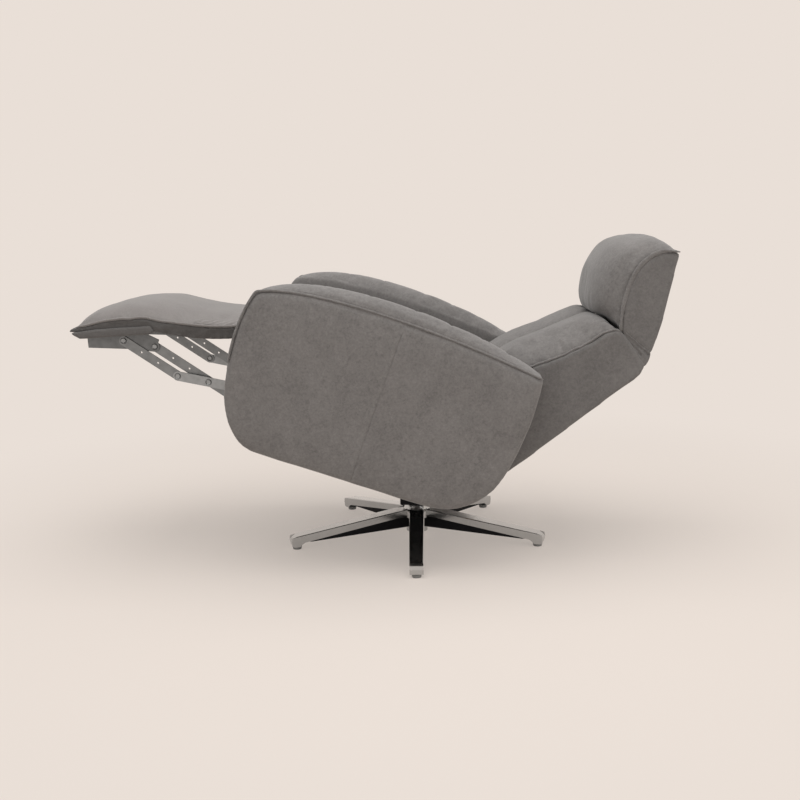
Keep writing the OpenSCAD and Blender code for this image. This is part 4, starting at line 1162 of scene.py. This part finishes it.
class RECLINER_OT_stage(Undoable, bpy.types.Operator):
    """Lays the floor, lights the room and sets the camera"""

    bl_idname = "recliner.stage"
    bl_label = "Stage"

    def execute(self, context):
        sizes = context.scene.recliner_stage
        self.floor(sizes)
        self.light(context, sizes)
        self.camera(context, sizes)
        context.scene.view_settings.view_transform = "Standard"
        return {"FINISHED"}

    def floor(self, sizes):
        bm = bmesh.new()
        bmesh.ops.create_circle(bm, cap_ends=True, radius=9.0, segments=96)
        w, shader, place = shader_start("Studio Floor", Roughness=0.9, Specular_IOR_Level=0.1)
        away = w.add("ShaderNodeVectorMath", {0: place}, operation="LENGTH").outputs["Value"]
        low = tuple(c * 0.985 for c in sizes.floor)
        w.feed(shader["Base Color"], w.mix(w.noise(place, 3.0, 2.0), (*low, 1), (*sizes.floor, 1)))
        # Painted light: seen straight or in reflections, the floor glows with the backdrop's colour at a 0.42 share
        # near the chair, which lightens the chair's shadow, rising to the whole of it far off, where it meets the even
        # backdrop
        painted_light_glow = w.add("ShaderNodeEmission", {"Color": (*sizes.backdrop, 1)})
        share = w.math("MULTIPLY", w.span(away, 0.75, 2.0, 0.42, 1.0), w.seen())
        w.blend("Principled BSDF", painted_light_glow, share, "Material Output")
        as_object(bm, "studio_floor", "Studio Floor")

    def light(self, context, sizes):
        world = bpy.data.worlds.new("Studio")
        context.scene.world = world
        world.use_nodes = True
        w = Wiring(world.node_tree)
        sky = world.node_tree.nodes["Background"].inputs
        sky["Color"].default_value = (1.0, 0.985, 0.965, 1)
        sky["Strength"].default_value = sizes.skylight
        backdrop = w.add("ShaderNodeBackground", {"Color": (*sizes.backdrop, 1), "Strength": 1.0})
        w.blend("Background", backdrop, w.seen(), "World Output")
        for name, power, size, at, aim in (
            ("overhead", sizes.overhead, 3.0, (0.0, -0.4, 2.9), (0, 0, 0.3)),
            ("front_fill", sizes.overhead * 0.07, 2.0, (-2.4, -2.2, 1.6), (0, 0, 0.4)),
            ("side_fill", sizes.overhead * 0.21, 1.6, (2.6, -2.4, 1.0), (0.2, 0, 0.4)),
        ):
            lamp = bpy.data.lights.new(name, "AREA")
            lamp.shape = "SQUARE"
            lamp.size = size
            lamp.energy = power
            lamp.color = (1.0, 0.985, 0.97)
            obj = bpy.data.objects.new(name, lamp)
            obj.location = at
            obj.rotation_euler = (Vector(aim) - Vector(at)).to_track_quat("-Z", "Y").to_euler()
            context.scene.collection.objects.link(obj)

    def camera(self, context, sizes):
        """Sets the camera where the photograph's was"""
        eye = (0.119, -2.680, 0.845)
        pitch, yaw, roll = (math.radians(a) for a in (9.87, 3.39, -1.20))
        right = Vector((math.cos(yaw), math.sin(yaw), 0))
        ahead = Vector((-math.sin(yaw), math.cos(yaw), 0)) * math.cos(pitch) - Vector((0, 0, math.sin(pitch)))
        up = right.cross(ahead)
        across = right * math.cos(roll) + up * math.sin(roll)
        upward = -right * math.sin(roll) + up * math.cos(roll)
        camera = bpy.data.cameras.new("camera")
        camera.lens = sizes.lens
        camera.sensor_width = 36.0
        camera.clip_end = 50.0
        obj = bpy.data.objects.new("camera", camera)
        obj.matrix_world = Matrix.Translation(eye) @ Matrix((across, upward, -ahead)).transposed().to_4x4()
        context.scene.collection.objects.link(obj)
        context.scene.camera = obj


OPERATORS = (
    RECLINER_OT_finishes, RECLINER_OT_star_base, RECLINER_OT_linkage, RECLINER_OT_arms, RECLINER_OT_seat,
    RECLINER_OT_footrest, RECLINER_OT_back, RECLINER_OT_headrest, RECLINER_OT_stage,
)


class RECLINER_PT_panel(bpy.types.Panel):
    """Sizes and pieces of the recliner"""

    bl_idname = "RECLINER_PT_panel"
    bl_label = "Recliner"
    bl_space_type = "VIEW_3D"
    bl_region_type = "UI"
    bl_category = "Recliner"

    def draw(self, context):
        scene = context.scene
        for group in (scene.recliner_upholstery, scene.recliner_metal, scene.recliner_stage):
            box = self.layout.box()
            for name in group.__annotations__:
                box.prop(group, name)
        for operator in OPERATORS:
            self.layout.operator(operator.bl_idname)


CLASSES = (UpholsterySizes, MetalSizes, StageSizes, *OPERATORS, RECLINER_PT_panel)


def register():
    for cls in CLASSES:
        bpy.utils.register_class(cls)
    bpy.types.Scene.recliner_upholstery = bpy.props.PointerProperty(type=UpholsterySizes)
    bpy.types.Scene.recliner_metal = bpy.props.PointerProperty(type=MetalSizes)
    bpy.types.Scene.recliner_stage = bpy.props.PointerProperty(type=StageSizes)


def unregister():
    del bpy.types.Scene.recliner_stage
    del bpy.types.Scene.recliner_metal
    del bpy.types.Scene.recliner_upholstery
    for cls in reversed(CLASSES):
        bpy.utils.unregister_class(cls)


def main():
    register()
    bpy.ops.recliner.finishes()
    bpy.ops.recliner.star_base()
    bpy.ops.recliner.linkage()
    bpy.ops.recliner.arms()
    bpy.ops.recliner.seat()
    bpy.ops.recliner.footrest()
    bpy.ops.recliner.back()
    bpy.ops.recliner.headrest()
    bpy.ops.recliner.stage()


if __name__ == "__main__":
    main()
